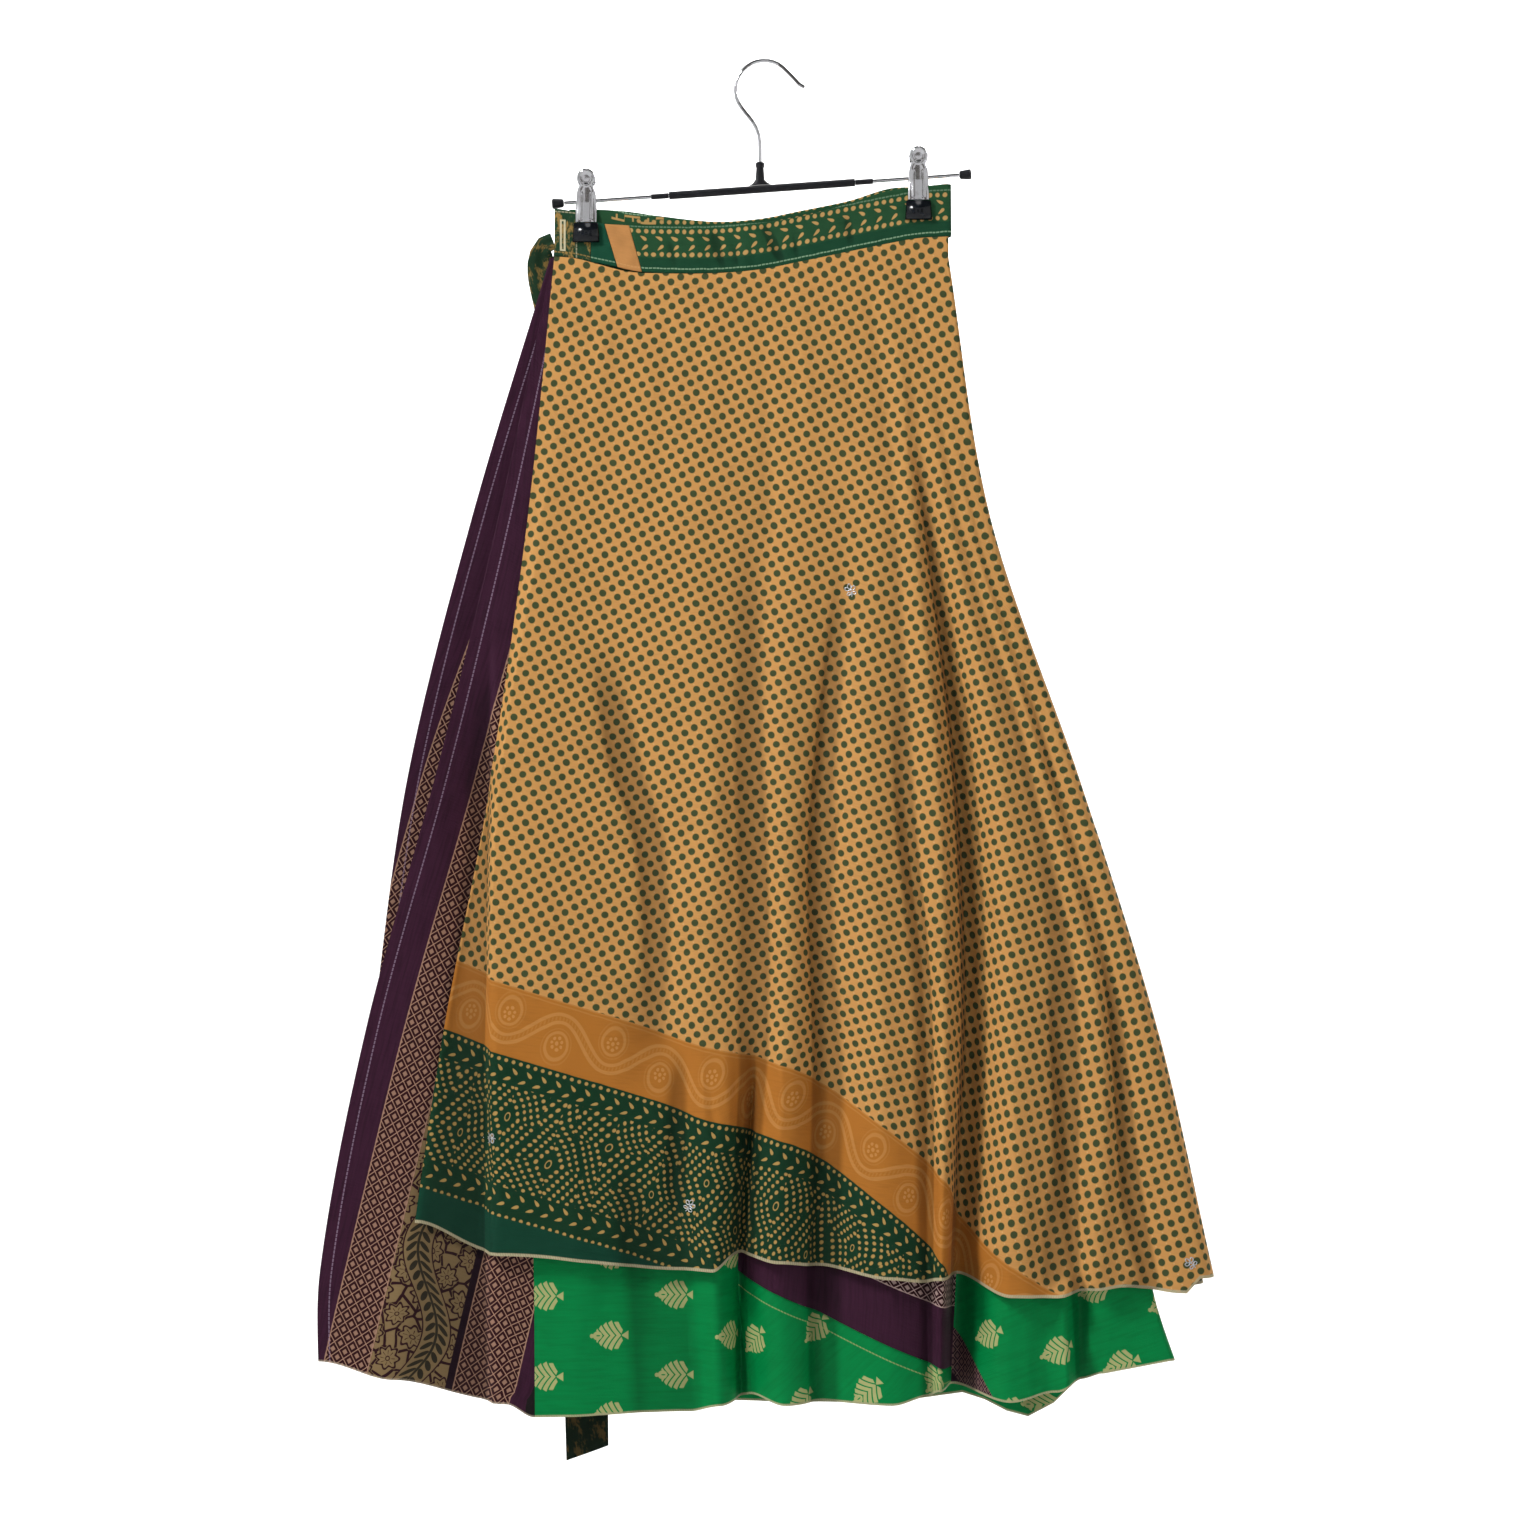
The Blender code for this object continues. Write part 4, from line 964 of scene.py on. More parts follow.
@dataclass(frozen=True)
class PrintedGold(Cloth):
    """Gold silk with green dots, an orange band and a dark green border, in millimetres."""

    ground: Colour = tint(215, 158, 90)
    dot: Colour = tint(38, 70, 44)
    speck: Colour = tint(232, 196, 136)
    orange: Colour = tint(186, 118, 46)
    vine: Colour = tint(208, 148, 80)
    border: Colour = tint(20, 58, 36)
    gold_dot: Colour = tint(196, 158, 90)
    plain: Colour = tint(16, 66, 48)
    thread: Colour = tint(196, 184, 148)
    orange_from: float = 972.0
    border_from: float = 1025.0
    plain_from: float = 1146.0
    dot_spacing: float = 8.35
    dot_turn: float = 42.0
    dot_radius: float = 2.72
    speck_radius: float = 0.55
    vine_repeat: float = 82.0
    vine_sway: float = 14.0
    petal_count: int = 7
    petal_ring: float = 4.1
    low_row: float = 117.2
    eye_repeat: float = 82.0
    high_eye: float = 46.0
    low_eye: float = 72.0
    diamond_lean: float = 32.0

    def make(self) -> Look:
        """The material."""
        paint = Paint("dotted_gold_silk")
        u0, v0 = paint.coordinates("cloth")
        along, above_hem = paint.coordinates("edge")
        shake = paint.noise(u0, v0, 9.0, 0.0) - 0.5
        u, v = u0 + shake * 0.9, v0 + shake * 0.7
        colour = self.dotted(paint, u, v)
        strips = (
            (self.orange_band(paint, u, v), self.orange_from, 0.4),
            (self.green_border(paint, u, v), self.border_from, 0.3),
            (self.plain, self.plain_from, 0.4),
        )
        for strip, start, soft in strips:
            colour = paint.over(colour, strip, v.step(start - soft, start + soft))
        stitch = overlocked(paint, along, above_hem)
        return self.dress(paint, paint.over(colour, self.thread, stitch), 0.60)

    def dotted(self, paint: Paint, u: Field, v: Field) -> Socket:
        """The field of dots, on a lattice that stands on its corner."""
        turn = math.radians(self.dot_turn)
        p, q = u * math.cos(turn) + v * math.sin(turn), u * math.sin(turn) - v * math.cos(turn)
        spacing = self.dot_spacing
        spots = dots(p, q, spacing, spacing, self.dot_radius)
        specks = dots(p + spacing / 2, q, spacing, spacing, self.speck_radius, 0.4)
        colour = paint.over(self.ground, self.speck, specks * 0.55)
        return paint.over(colour, self.dot, spots * 0.94)

    def orange_band(self, paint: Paint, u: Field, v: Field) -> Socket:
        """A tone-in-tone vine that winds between clusters of dots."""
        period, sway, ring = self.vine_repeat, self.vine_sway, self.petal_ring
        middle = (self.orange_from + self.border_from) / 2
        turn = u * (2 * math.pi / period)
        slope = turn.cosine() * (sway * 2 * math.pi / period)
        off = abs(v - middle - turn.sine() * sway) / ((slope * slope + 1.0) ** 0.5)
        hatch = abs((u / 2.6).fract() - 0.5).step(0.30, 0.18)
        vine = off.within(1.7, 4.4, 0.5) * 0.8 + off.step(1.5, 1.1) * hatch * 0.3
        side = ((u / period).fract() - 0.5).step(-0.001, 0.001) * 2 - 1
        across = u.repeat(period / 2)
        lift = (v - middle) * side * -1.0 + 6.0
        reach = (across * across * 1.2 + lift * lift * 0.75) ** 0.5
        petals = paint.math("ARCTAN2", lift, across) * (self.petal_count / (2 * math.pi))
        beside = (petals.fract() - 0.5) * (ring * 2 * math.pi / self.petal_count)
        flower = ((beside * beside + (reach - ring) * (reach - ring)) ** 0.5).step(1.5, 1.0)
        cluster = flower.most(reach.step(1.7, 1.2))
        drop = reach + lift * 0.16
        halo = drop.within(7.9, 10.2, 0.5) * 0.75 + drop.within(11.6, 12.6, 0.4) * 0.3
        edge_lines = v.within(self.orange_from + 2.6, self.orange_from + 3.8, 0.4) * 0.45
        edge_lines = edge_lines + v.within(self.orange_from, self.orange_from + 1.0, 0.4) * 0.6
        lines = vine.most(cluster).most(halo).most(edge_lines).least(1.0)
        return paint.over(self.orange, self.vine, lines * 0.8)

    def green_border(self, paint: Paint, u: Field, v: Field) -> Socket:
        """Rows of dots and of leaf pairs above and below a field of dotted rings."""
        top = v - self.border_from
        rows = self.dot_row(u, top) + self.dot_row(u, top - self.low_row)
        for leaf in BORDER_LEAVES:
            rows = rows + leaves(u, top - leaf.middle, leaf.spacing, leaf.slant, leaf.shift)
        bend = (paint.noise(u, v, 30.0, 0.0) - 0.5) * 9.0
        field = self.ringed_dots(u + bend, top - bend) * top.within(21.0, 98.5, 0.3)
        return paint.over(self.border, self.gold_dot, (rows + field).least(1.0) * 0.92)

    def dot_row(self, u: Field, above: Field) -> Field:
        """One row of dots, measured up from its foot."""
        return dots(u, above - 0.2, 5.75, 5.7, 1.42) * above.within(0.2, 5.6, 0.1)

    def ringed_dots(self, u: Field, top: Field) -> Field:
        """Dots in diamonds about small eyes that stand high and low by turns."""
        near_high, spots_high = self.diamonds(u.repeat(self.eye_repeat), top - self.high_eye)
        near_low, spots_low = self.diamonds(u.repeat(self.eye_repeat, 0.5), top - self.low_eye)
        share = (near_low - near_high).step(-0.4, 0.4)
        return spots_high * share + spots_low * (1.0 - share)

    def diamonds(self, across: Field, lift: Field) -> tuple[Field, Field]:
        """Dots on nested diamonds round one eye.

        Args:
            across: Distance to the right of the eye.
            lift: Distance above it.

        Returns:
            The distance from the eye by diamonds, and the mask of its dots.
        """
        lean = math.radians(self.diamond_lean)
        side, rise = abs(across), abs(lift)
        outward = side * math.cos(lean) + rise * math.sin(lean)
        beside = rise * math.cos(lean) - side * math.sin(lean)
        spots = dots(beside + 2.3, outward + 1.0, 4.9, 6.1, 1.42) * outward.step(4.6, 5.4)
        reach = oval(across, lift, 2.3, 3.4) ** 0.5
        return outward, spots.most(reach.within(0.68, 0.98, 0.12))


def overlocked(paint: Paint, along: Field, above_hem: Field, height: float = 2.3) -> Field:
    """A hem's overlock stitches, as a mask from the edge up."""
    ragged = (paint.noise(along, above_hem, 2.2, 1.0) - 0.5) * 1.1
    loops = abs(((along + above_hem * 0.5) / 1.9).fract() - 0.5).step(0.5, 0.28)
    return above_hem.step(height + 0.5, height - 0.4) * (loops * 0.35 + 0.62 + ragged * 0.3)


def topstitched(off: Field, along: Field, length: float = 2.6) -> Field:
    """A line of stitches where off is 0, as a mask."""
    return abs(off).step(0.75, 0.25) * abs((along / length).fract() - 0.5).step(0.46, 0.34)


@dataclass(frozen=True)
class Trellis(Cloth):
    """Purple silk with bands of a diamond trellis and of a flowered brocade, in millimetres."""

    silk: Colour = tint(62, 28, 50)
    deep: Colour = tint(34, 13, 27)
    maroon: Colour = tint(46, 14, 22)
    line: Colour = tint(186, 144, 120)
    beige: Colour = tint(142, 118, 82)
    outline: Colour = tint(46, 16, 26)
    leaf: Colour = tint(32, 34, 28)
    shadow: Colour = (0.012, 0.01, 0.01)
    thread: Colour = tint(176, 150, 176)
    selvedge: Colour = tint(206, 190, 164)
    diamond_width: float = 9.6
    diamond_height: float = 11.3

    def trellis(self, paint: Paint, off: Field, along: Field, width: float) -> tuple[Value, Field]:
        """A band of diamonds from off = 0 to its width.

        Args:
            paint: The material's nodes.
            off: Distance across from the band's first edge.
            along: Distance along the band.
            width: The band's width.

        Returns:
            The band's colour, and its mask.
        """
        wide, high = self.diamond_width, self.diamond_height
        p, q = off / wide + along / high, off / wide - along / high
        reach = abs(p.fract() - 0.5).most(abs(q.fract() - 0.5))
        mask = (reach.step(0.445, 0.465) * 0.9).most(reach.step(0.235, 0.2) * 0.75)
        colour = paint.over(self.maroon, self.line, mask)
        border = off.within(0.0, 0.9, 0.3).most(off.within(width - 0.9, width, 0.3))
        return paint.over(colour, self.line, border * 0.8), off.within(0.0, width, 0.3)


@dataclass(frozen=True)
class PurpleGore(Trellis):
    """The purple gore: its hemmed free edge, trellis bands and a strip of flowered brocade."""

    name: str = "purple_brocade_near"
    first_band: float = 35.0
    strip_to: float = 95.5
    second_from: float = 101.0
    second_band: float = 48.0
    dark_from: float = 161.5
    hem_stitch: float = 9.0
    flower_width: float = 31.0
    flower_height: float = 34.0
    petal_reach: float = 7.8
    stem_at: float = 65.0
    stem_sway: float = 15.0

    def make(self) -> Look:
        """The material."""
        paint = Paint(self.name)
        off, up = paint.coordinates("cloth")
        from_edge, above_hem = paint.coordinates("edge")
        streak = paint.noise(off * 3.0, up * 0.2, 6.0, 1.0)
        colour = paint.over(self.silk, self.deep, streak.step(0.35, 0.8) * 0.45)
        band, mask = self.trellis(paint, off, up, self.first_band)
        colour = paint.over(colour, band, mask)
        strip = off.within(self.first_band, self.strip_to, 0.4)
        colour = paint.over(colour, self.brocade(paint, off, up), strip)
        colour = paint.over(colour, self.deep, off.within(self.strip_to, self.second_from, 0.4))
        band, mask = self.trellis(paint, off - self.second_from, up, self.second_band)
        colour = paint.over(colour, band, mask)
        colour = paint.over(colour, self.shadow, off.step(self.dark_from, self.dark_from + 1.0))
        stitches = topstitched(from_edge - self.hem_stitch, up, 3.2) * 0.5
        colour = paint.over(colour, self.thread, stitches)
        colour = paint.over(colour, self.selvedge, overlocked(paint, off, above_hem, 1.4) * 0.5)
        return self.dress(paint, colour, 0.5, 0.05)

    def brocade(self, paint: Paint, off: Field, up: Field) -> Socket:
        """Beige flowers and curling leaves with dark outlines."""
        bend = (paint.noise(off, up, 24.0, 1.0) - 0.5) * 8.0
        u, v = off + bend, up - bend
        scales = paint.scales(u, v, 12.5, 0.9)
        colour = paint.over(self.beige, self.outline, scales.step(0.10, 0.065))
        for shift in (0.0, 0.5):
            x, y = u.repeat(self.flower_width, shift), v.repeat(self.flower_height, shift)
            reach = (x * x + y * y) ** 0.5
            angle = paint.math("ARCTAN2", y, x)
            petals = (angle * 8.0).cosine() * 1.3 + self.petal_reach
            colour = paint.over(colour, self.beige, (petals - reach).step(-1.6, -1.2))
            edge = abs(petals - reach).step(1.1, 0.65)
            spokes = abs((angle * 4.0).sine()).step(0.26, 0.14) * reach.within(2.6, 5.6, 0.3)
            flower = edge.most(spokes).most(reach.within(1.1, 1.9, 0.3))
            colour = paint.over(colour, self.outline, flower)
        sway = (up / 23.0).sine() * self.stem_sway
        stem_off = abs(off - self.stem_at - sway)
        colour = paint.over(colour, self.beige, stem_off.step(11.6, 11.0))
        colour = paint.over(colour, self.outline, stem_off.within(10.6, 11.7, 0.2))
        along = ((stem_off * 0.8 + up) / 7.4).fract() - 0.5
        lobe = oval(stem_off - 5.0, along, 3.9, 0.33)
        fern = lobe.step(1.1, 0.9) + stem_off.step(1.3, 0.8)
        return paint.over(colour, self.leaf, fern.least(1.0) * 0.92)


@dataclass(frozen=True)
class PurpleWedge(Trellis):
    """The slanted purple gore, with a trellis band above its plain lower part."""

    line: Colour = tint(206, 176, 168)
    band_from: float = 46.0
    band_width: float = 35.0

    def make(self) -> Look:
        """The material."""
        paint = Paint("purple_wedge_silk")
        off, up = paint.coordinates("cloth")
        along, above_hem = paint.coordinates("edge")
        streak = paint.noise(off * 3.0, up * 0.2, 6.0, 1.0)
        colour = paint.over(self.silk, self.deep, streak.step(0.35, 0.8) * 0.4)
        band, mask = self.trellis(paint, above_hem - self.band_from, along, self.band_width)
        colour = paint.over(colour, band, mask)
        return self.dress(paint, colour, 0.5, 0.05)


@dataclass(frozen=True)
class LeafedGreen(Cloth):
    """Bright green silk with gold leaf motifs in staggered rows, in millimetres."""

    silk: Colour = tint(0, 138, 70)
    deep: Colour = tint(0, 108, 52)
    gold: Colour = tint(190, 190, 128)
    thread: Colour = tint(184, 180, 140)
    purple: Colour = tint(44, 20, 38)
    pale: Colour = tint(176, 140, 128)
    name: str = "leafed_green_silk"
    start_u: float = -167.0
    start_v: float = -1006.0
    cell_width: float = 100.0
    cell_height: float = 61.0
    tilt: float = 0.0
    pivot_drop: float = 970.0
    corner: bool = False
    corner_x: float = 141.0
    corner_z: float = -968.0
    corner_lean: float = 0.84
    seamed: bool = False

    def make(self) -> Look:
        """The material."""
        paint = Paint(self.name)
        x, z = paint.coordinates("cloth")
        along, above_hem = paint.coordinates("edge")
        turned = math.radians(self.tilt)
        raised = z + self.pivot_drop
        u = x * math.cos(turned) + raised * math.sin(turned)
        v = raised * math.cos(turned) - x * math.sin(turned) - self.pivot_drop
        slub = paint.noise(u * 0.12, v * 1.6, 4.0, 2.0)
        colour = paint.over(self.silk, self.deep, slub.step(0.35, 0.8) * 0.4)
        staggered = self.leaf(u, v, self.cell_width / 2, self.cell_height / 2)
        motif = self.leaf(u, v, 0.0, 0.0).most(staggered)
        colour = paint.over(colour, self.gold, motif * 0.92)
        if self.seamed:
            beside, below = paint.coordinates("seam")
            colour = paint.over(colour, self.gold, topstitched(below - 11.0, beside) * 0.55)
            colour = paint.over(colour, self.deep, below.step(2.2, 0.2) * 0.6)
        if self.corner:
            colour = self.purple_corner(paint, colour, x, z)
        stitches = overlocked(paint, along, above_hem, 1.6)
        return self.dress(paint, paint.over(colour, self.thread, stitches), 0.5, 0.0)

    def purple_corner(self, paint: Paint, colour: Value, x: Field, z: Field) -> Value:
        """The colour with a purple corner, beyond a slanting seam low on the cloth."""
        off = (x - self.corner_x) - (self.corner_z - z) * self.corner_lean
        p, q = x / 7.4 + z / 9.0, x / 7.4 - z / 9.0
        reach = abs(p.fract() - 0.5).most(abs(q.fract() - 0.5))
        lines = reach.step(0.43, 0.455).most(reach.step(0.28, 0.25) * 0.6)
        patch = paint.over(self.purple, self.pale, lines * off.step(-31.0, -29.0) * 0.55)
        below = z.step(self.corner_z + 1.0, self.corner_z - 1.0)
        return paint.over(colour, patch, off.step(0.4, -0.4) * below)

    def leaf(self, u: Field, v: Field, shift_u: float, shift_v: float) -> Field:
        """A ribbed leaf on its side, once in each cell."""
        x = (u - self.start_u - shift_u).repeat(self.cell_width)
        y = abs((v - self.start_v - shift_v).repeat(self.cell_height))
        reach = x + 1.6
        body = oval(reach, y, 11.4, 10.6 + reach * 0.30) ** 0.5
        comb = ((x + y * 0.95 - y * y * 0.028 + 0.6) / 4.7).fract()
        inside = (body - (comb * 0.15 + 0.90)).step(0.03, -0.03) * comb.within(0.10, 0.82, 0.05)
        inside = inside * (x - y * 0.42).step(7.9, 7.3) * (x + y * 0.7).step(-8.8, -8.2)
        drop = oval(x + 10.2, y, 3.6, 3.3).step(1.1, 0.85)
        core = oval(x + 9.6, y, 1.6, 0.5).step(0.8, 1.2)
        bud = oval(x + 14.6, y, 1.5, 1.6).step(1.2, 0.8)
        stalk = x.within(8.6, 13.6, 0.3) * (y - (x - 8.0) * 0.60).step(0.3, -0.3)
        return inside.most(drop).most(bud).most(stalk) * core


@dataclass(frozen=True)
class BandPrint(Cloth):
    """The waistband's green length: rows of dots and leaves, measured up from its foot."""

    silk: Colour = tint(38, 80, 50)
    deep: Colour = tint(26, 72, 48)
    gold: Colour = tint(204, 162, 98)
    thread: Colour = tint(150, 186, 150)
    name: str = "waistband_print"
    steps: bool = False
    spacing: float = 5.9
    step_foot: float = 38.4
    step_rise: float = 4.0

    def make(self) -> Look:
        """The material."""
        paint = Paint(self.name)
        u, v = paint.coordinates("cloth")
        shake = paint.noise(u, v, 7.0, 0.0) - 0.5
        u, v = u + shake * 1.4, v + shake * 0.9
        colour = paint.over(self.deep, self.silk, v.step(11.0, 12.0))
        if self.steps:
            colour = paint.over(colour, self.gold, self.inner_rows(u, v).least(1.0) * 0.9)
            stitches = topstitched(v - 44.6, u, 3.0)
        else:
            colour = paint.over(colour, self.gold, self.outer_rows(u, v).least(1.0) * 0.94)
            stitches = topstitched(v - 3.4, u, 2.8).most(topstitched(v - 35.4, u, 2.8) * 0.5)
        return self.dress(paint, paint.over(colour, self.thread, stitches * 0.8), 0.62)

    def dot_row(self, u: Field, v: Field, phase: float, foot: float, radius: float) -> Field:
        """A row of dots whose foot is at a height, and whose lattice starts at phase."""
        spots = dots(u, v - phase, self.spacing, self.spacing, radius)
        return spots * v.within(foot, foot + 5.6, 0.1)

    def outer_rows(self, u: Field, v: Field) -> Field:
        """Outside the band: two rows of leaves between two rows of dots."""
        rows = self.dot_row(u, v, 29.0, 29.2, 1.75) + self.dot_row(u, v, 11.2, 11.4, 1.75)
        return rows + leaves(u, v - 26.6, 12.0, -0.5, 0.3) + leaves(u, v - 19.4, 12.0, 0.75, 0.2)

    def inner_rows(self, u: Field, v: Field) -> Field:
        """Inside the band: a line that rises and falls by steps, and two rows of dots."""
        foot, rise = self.step_foot, self.step_rise
        line = abs(v - foot - (u / 24.0).fract().step(0.49, 0.51) * rise).step(1.1, 0.6)
        riser = abs((u / 12.0).fract() - 0.5).step(0.07, 0.04) * v.within(foot, foot + rise, 0.3)
        upper = self.dot_row(u, v, 36.6, 36.8, 1.6) * u.step(-100.0, -99.0)
        lower = self.dot_row(u + 2, v, 30.9, 31.0, 1.6) * u.step(-84.0, -83.0)
        return line.most(riser) * u.within(-118.0, -78.0, 0.5) + upper + lower


@dataclass(frozen=True)
class Mottled(Cloth):
    """Green and gold silk with a dappled print and a stitched edge."""

    green: Colour = tint(34, 68, 46)
    gold: Colour = tint(178, 140, 76)
    dark: Colour = tint(24, 40, 28)
    thread: Colour = tint(224, 214, 176)
    name: str = "mottled_silk"
    buttonhole: bool = False
    hole_left: float = 155.5
    hole_up: float = 16.5
    # darkens: the tie's end grows darker towards its tip, painted shade where it hangs behind the skirt
    # together with the cloth's darker inner side
    darkens: bool = False
    shaded_reverse: Colour = tint(14, 18, 12)
    dark_from: float = 640.0
    dark_to: float = 900.0

    def make(self) -> Look:
        """The material."""
        paint = Paint(self.name)
        u, v = paint.coordinates("cloth")
        blotch = paint.noise(u * 1.5, v * 0.8, 11.0, 4.0)
        fleck = paint.noise(u * 2.0, v, 3.0, 2.0)
        colour = paint.over(self.green, self.gold, (blotch + fleck * 0.35).step(0.66, 0.80) * 0.85)
        colour = paint.over(colour, self.dark, fleck.step(0.42, 0.30) * 0.4)
        # Painted shade, with the cloth's darker inner side: darker from dark_from to dark_to along the tie
        if self.darkens:
            colour = paint.over(colour, self.shaded_reverse, v.step(self.dark_from, self.dark_to) * 0.72)
        if self.buttonhole:
            colour = self.stitched(paint, colour, u, v)
        return self.dress(paint, colour, 0.66)

    def stitched(self, paint: Paint, colour: Value, u: Field, v: Field) -> Value:
        """The colour with a worked buttonhole and the lines of stitches round it."""
        x, y = u + self.hole_left, v - self.hole_up
        reach = abs(x).most((abs(y) - 10.2).most(0.0) * 1.2)
        worked = reach.within(0.7, 2.2, 0.3) * abs(y).step(13.0, 12.4)
        loops = abs(y.fract() - 0.5).step(0.5, 0.2) * 0.4 + 0.6
        colour = paint.over(colour, self.thread, worked * loops)
        colour = paint.over(colour, self.gold, topstitched(v - 3.4, u, 2.8) * 0.6)
        edge = topstitched(v - 34.4, u, 2.8).most(topstitched(u + 145.0, v, 2.8))
        return paint.over(colour, self.thread, edge * 0.5)


@dataclass(frozen=True)
class PlainSilk(Cloth):
    """One colour of silk, a little uneven, with its stitched edges."""

    silk: Colour
    name: str
    thread: Colour = tint(150, 186, 150)
    stitched: float = 3.4

    def make(self) -> Look:
        """The material."""
        paint = Paint(self.name)
        u, v = paint.coordinates("cloth")
        cloud = paint.noise(u, v, 16.0, 3.0)
        colour = paint.over(self.silk, scaled(self.silk, 0.72), cloud.step(0.35, 0.75) * 0.5)
        stitches = topstitched(v - self.stitched, u, 2.8)
        return self.dress(paint, paint.over(colour, self.thread, stitches * 0.7), 0.6)


@dataclass(frozen=True)
class Metal:
    """Bright plated steel with fine rubs."""

    name: str = "plated_steel"
    colour: Colour = (0.80, 0.80, 0.83)
    rough: float = 0.09
    grain: float = 3.0

    def make(self) -> Look:
        """The material."""
        paint = Paint(self.name)
        spots = paint.speckle(900.0 / self.grain, 4.0)
        colour = paint.over(self.colour, scaled(self.colour, 0.8), spots.step(0.5, 0.75))
        normal = paint.bump(spots, 0.08, 0.2 * MM)
        return paint.finish(colour, self.rough + spots * 0.09, normal, Metallic=1.0)


@dataclass(frozen=True)
class Moulded:
    """Black plastic or dipped vinyl with a slight grain, which may swell towards its middle."""

    name: str
    colour: Colour
    rough: float
    grain: float = 0.12
    gloss: float = 0.3
    swell: float = 0.0

    def make(self) -> Look:
        """The material."""
        paint = Paint(self.name)
        uneven_tone = paint.speckle(160.0, 3.0)
        colour = paint.over(self.colour, scaled(self.colour, 2.2, 0.004), uneven_tone.step(0.5, 0.8) * 0.6)
        fine = paint.speckle(1400.0, 3.0) * self.grain * 0.2
        box = paint.node("ShaderNodeTexCoord", {}, {}).outputs["Generated"]
        sides = paint.node("ShaderNodeSeparateXYZ", {}, {"Vector": box}).outputs
        over, up = Field(paint, sides["X"]) * 2.0 - 1.0, Field(paint, sides["Z"]) * 2.0 - 1.0
        swelling = (1.0 - over * over + (1.0 - up * up) * 0.7) * self.swell
        normal = paint.bump(fine + swelling, 1.0, MM)
        return paint.finish(colour, self.rough + uneven_tone * 0.12, normal, Specular_IOR_Level=self.gloss)


def smooth_mesh(name: str, points: Sequence[Any], faces: Sequence[Any]) -> bpy.types.Mesh:
    """A mesh with smooth faces."""
    mesh = bpy.data.meshes.new(name)
    mesh.from_pydata(points, [], faces)
    mesh.polygons.foreach_set("use_smooth", np.ones(len(faces), bool))
    return mesh


def added(name: str, data: Any) -> bpy.types.Object:
    """A new object in the scene, from a mesh, a light or a lens."""
    made = bpy.data.objects.new(name, data)
    bpy.context.scene.collection.objects.link(made)
    return made


def grid_object(name: str, surface: Surface, wall: float) -> bpy.types.Object:
    """A thin shell on a surface's grid.

    Args:
        name: The object's name.
        surface: The grid and its coordinates on the flat cloth.
        wall: The cloth's thickness.

    Returns:
        The object.
    """
    rows, columns = surface.x.shape
    points = np.stack([surface.x, surface.y, surface.z], axis=-1).reshape(-1, 3)
    corner = (np.arange(rows - 1)[:, None] * columns + np.arange(columns - 1)).ravel()
    quads = np.stack([corner, corner + columns, corner + columns + 1, corner + 1], axis=1)
    mesh = smooth_mesh(name, points.tolist(), quads.tolist())
    corners = np.empty(len(mesh.loops), np.int32)
    mesh.loops.foreach_get("vertex_index", corners)
    for layer, pair in surface.prints.items():
        flat = np.stack(pair, axis=-1).reshape(-1, 2)
        mesh.uv_layers.new(name=layer).data.foreach_set("uv", flat[corners].ravel())
    made = added(name, mesh)
    shell = made.modifiers.new("wall", "SOLIDIFY")
    shell.thickness = wall
    shell.offset = 0
    even = made.modifiers.new("even", "WEIGHTED_NORMAL")
    even.weight = 80
    return made


def show(piece: bpy.types.Object, look: Look, nodes: Sequence[str] = ()) -> None:
    """Dresses a piece and ties it to the frame.

    Args:
        piece: The piece.
        look: Its material.
        nodes: The CAD nodes that it replaces.
    """
    piece.data.materials.clear()
    piece.data.materials.append(look)
    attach(piece, BODY)
    if nodes:
        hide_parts(*nodes)
    LOG.info("built %s", piece.name)


def inner_folds() -> list[Line]:
    """The near folds that the plies inside share, from right to left."""
    outer = ("free_edge", "inner_fold", "crest_7")
    return [row for name, row in NEAR_FOLDS.items() if name not in outer][::-1]


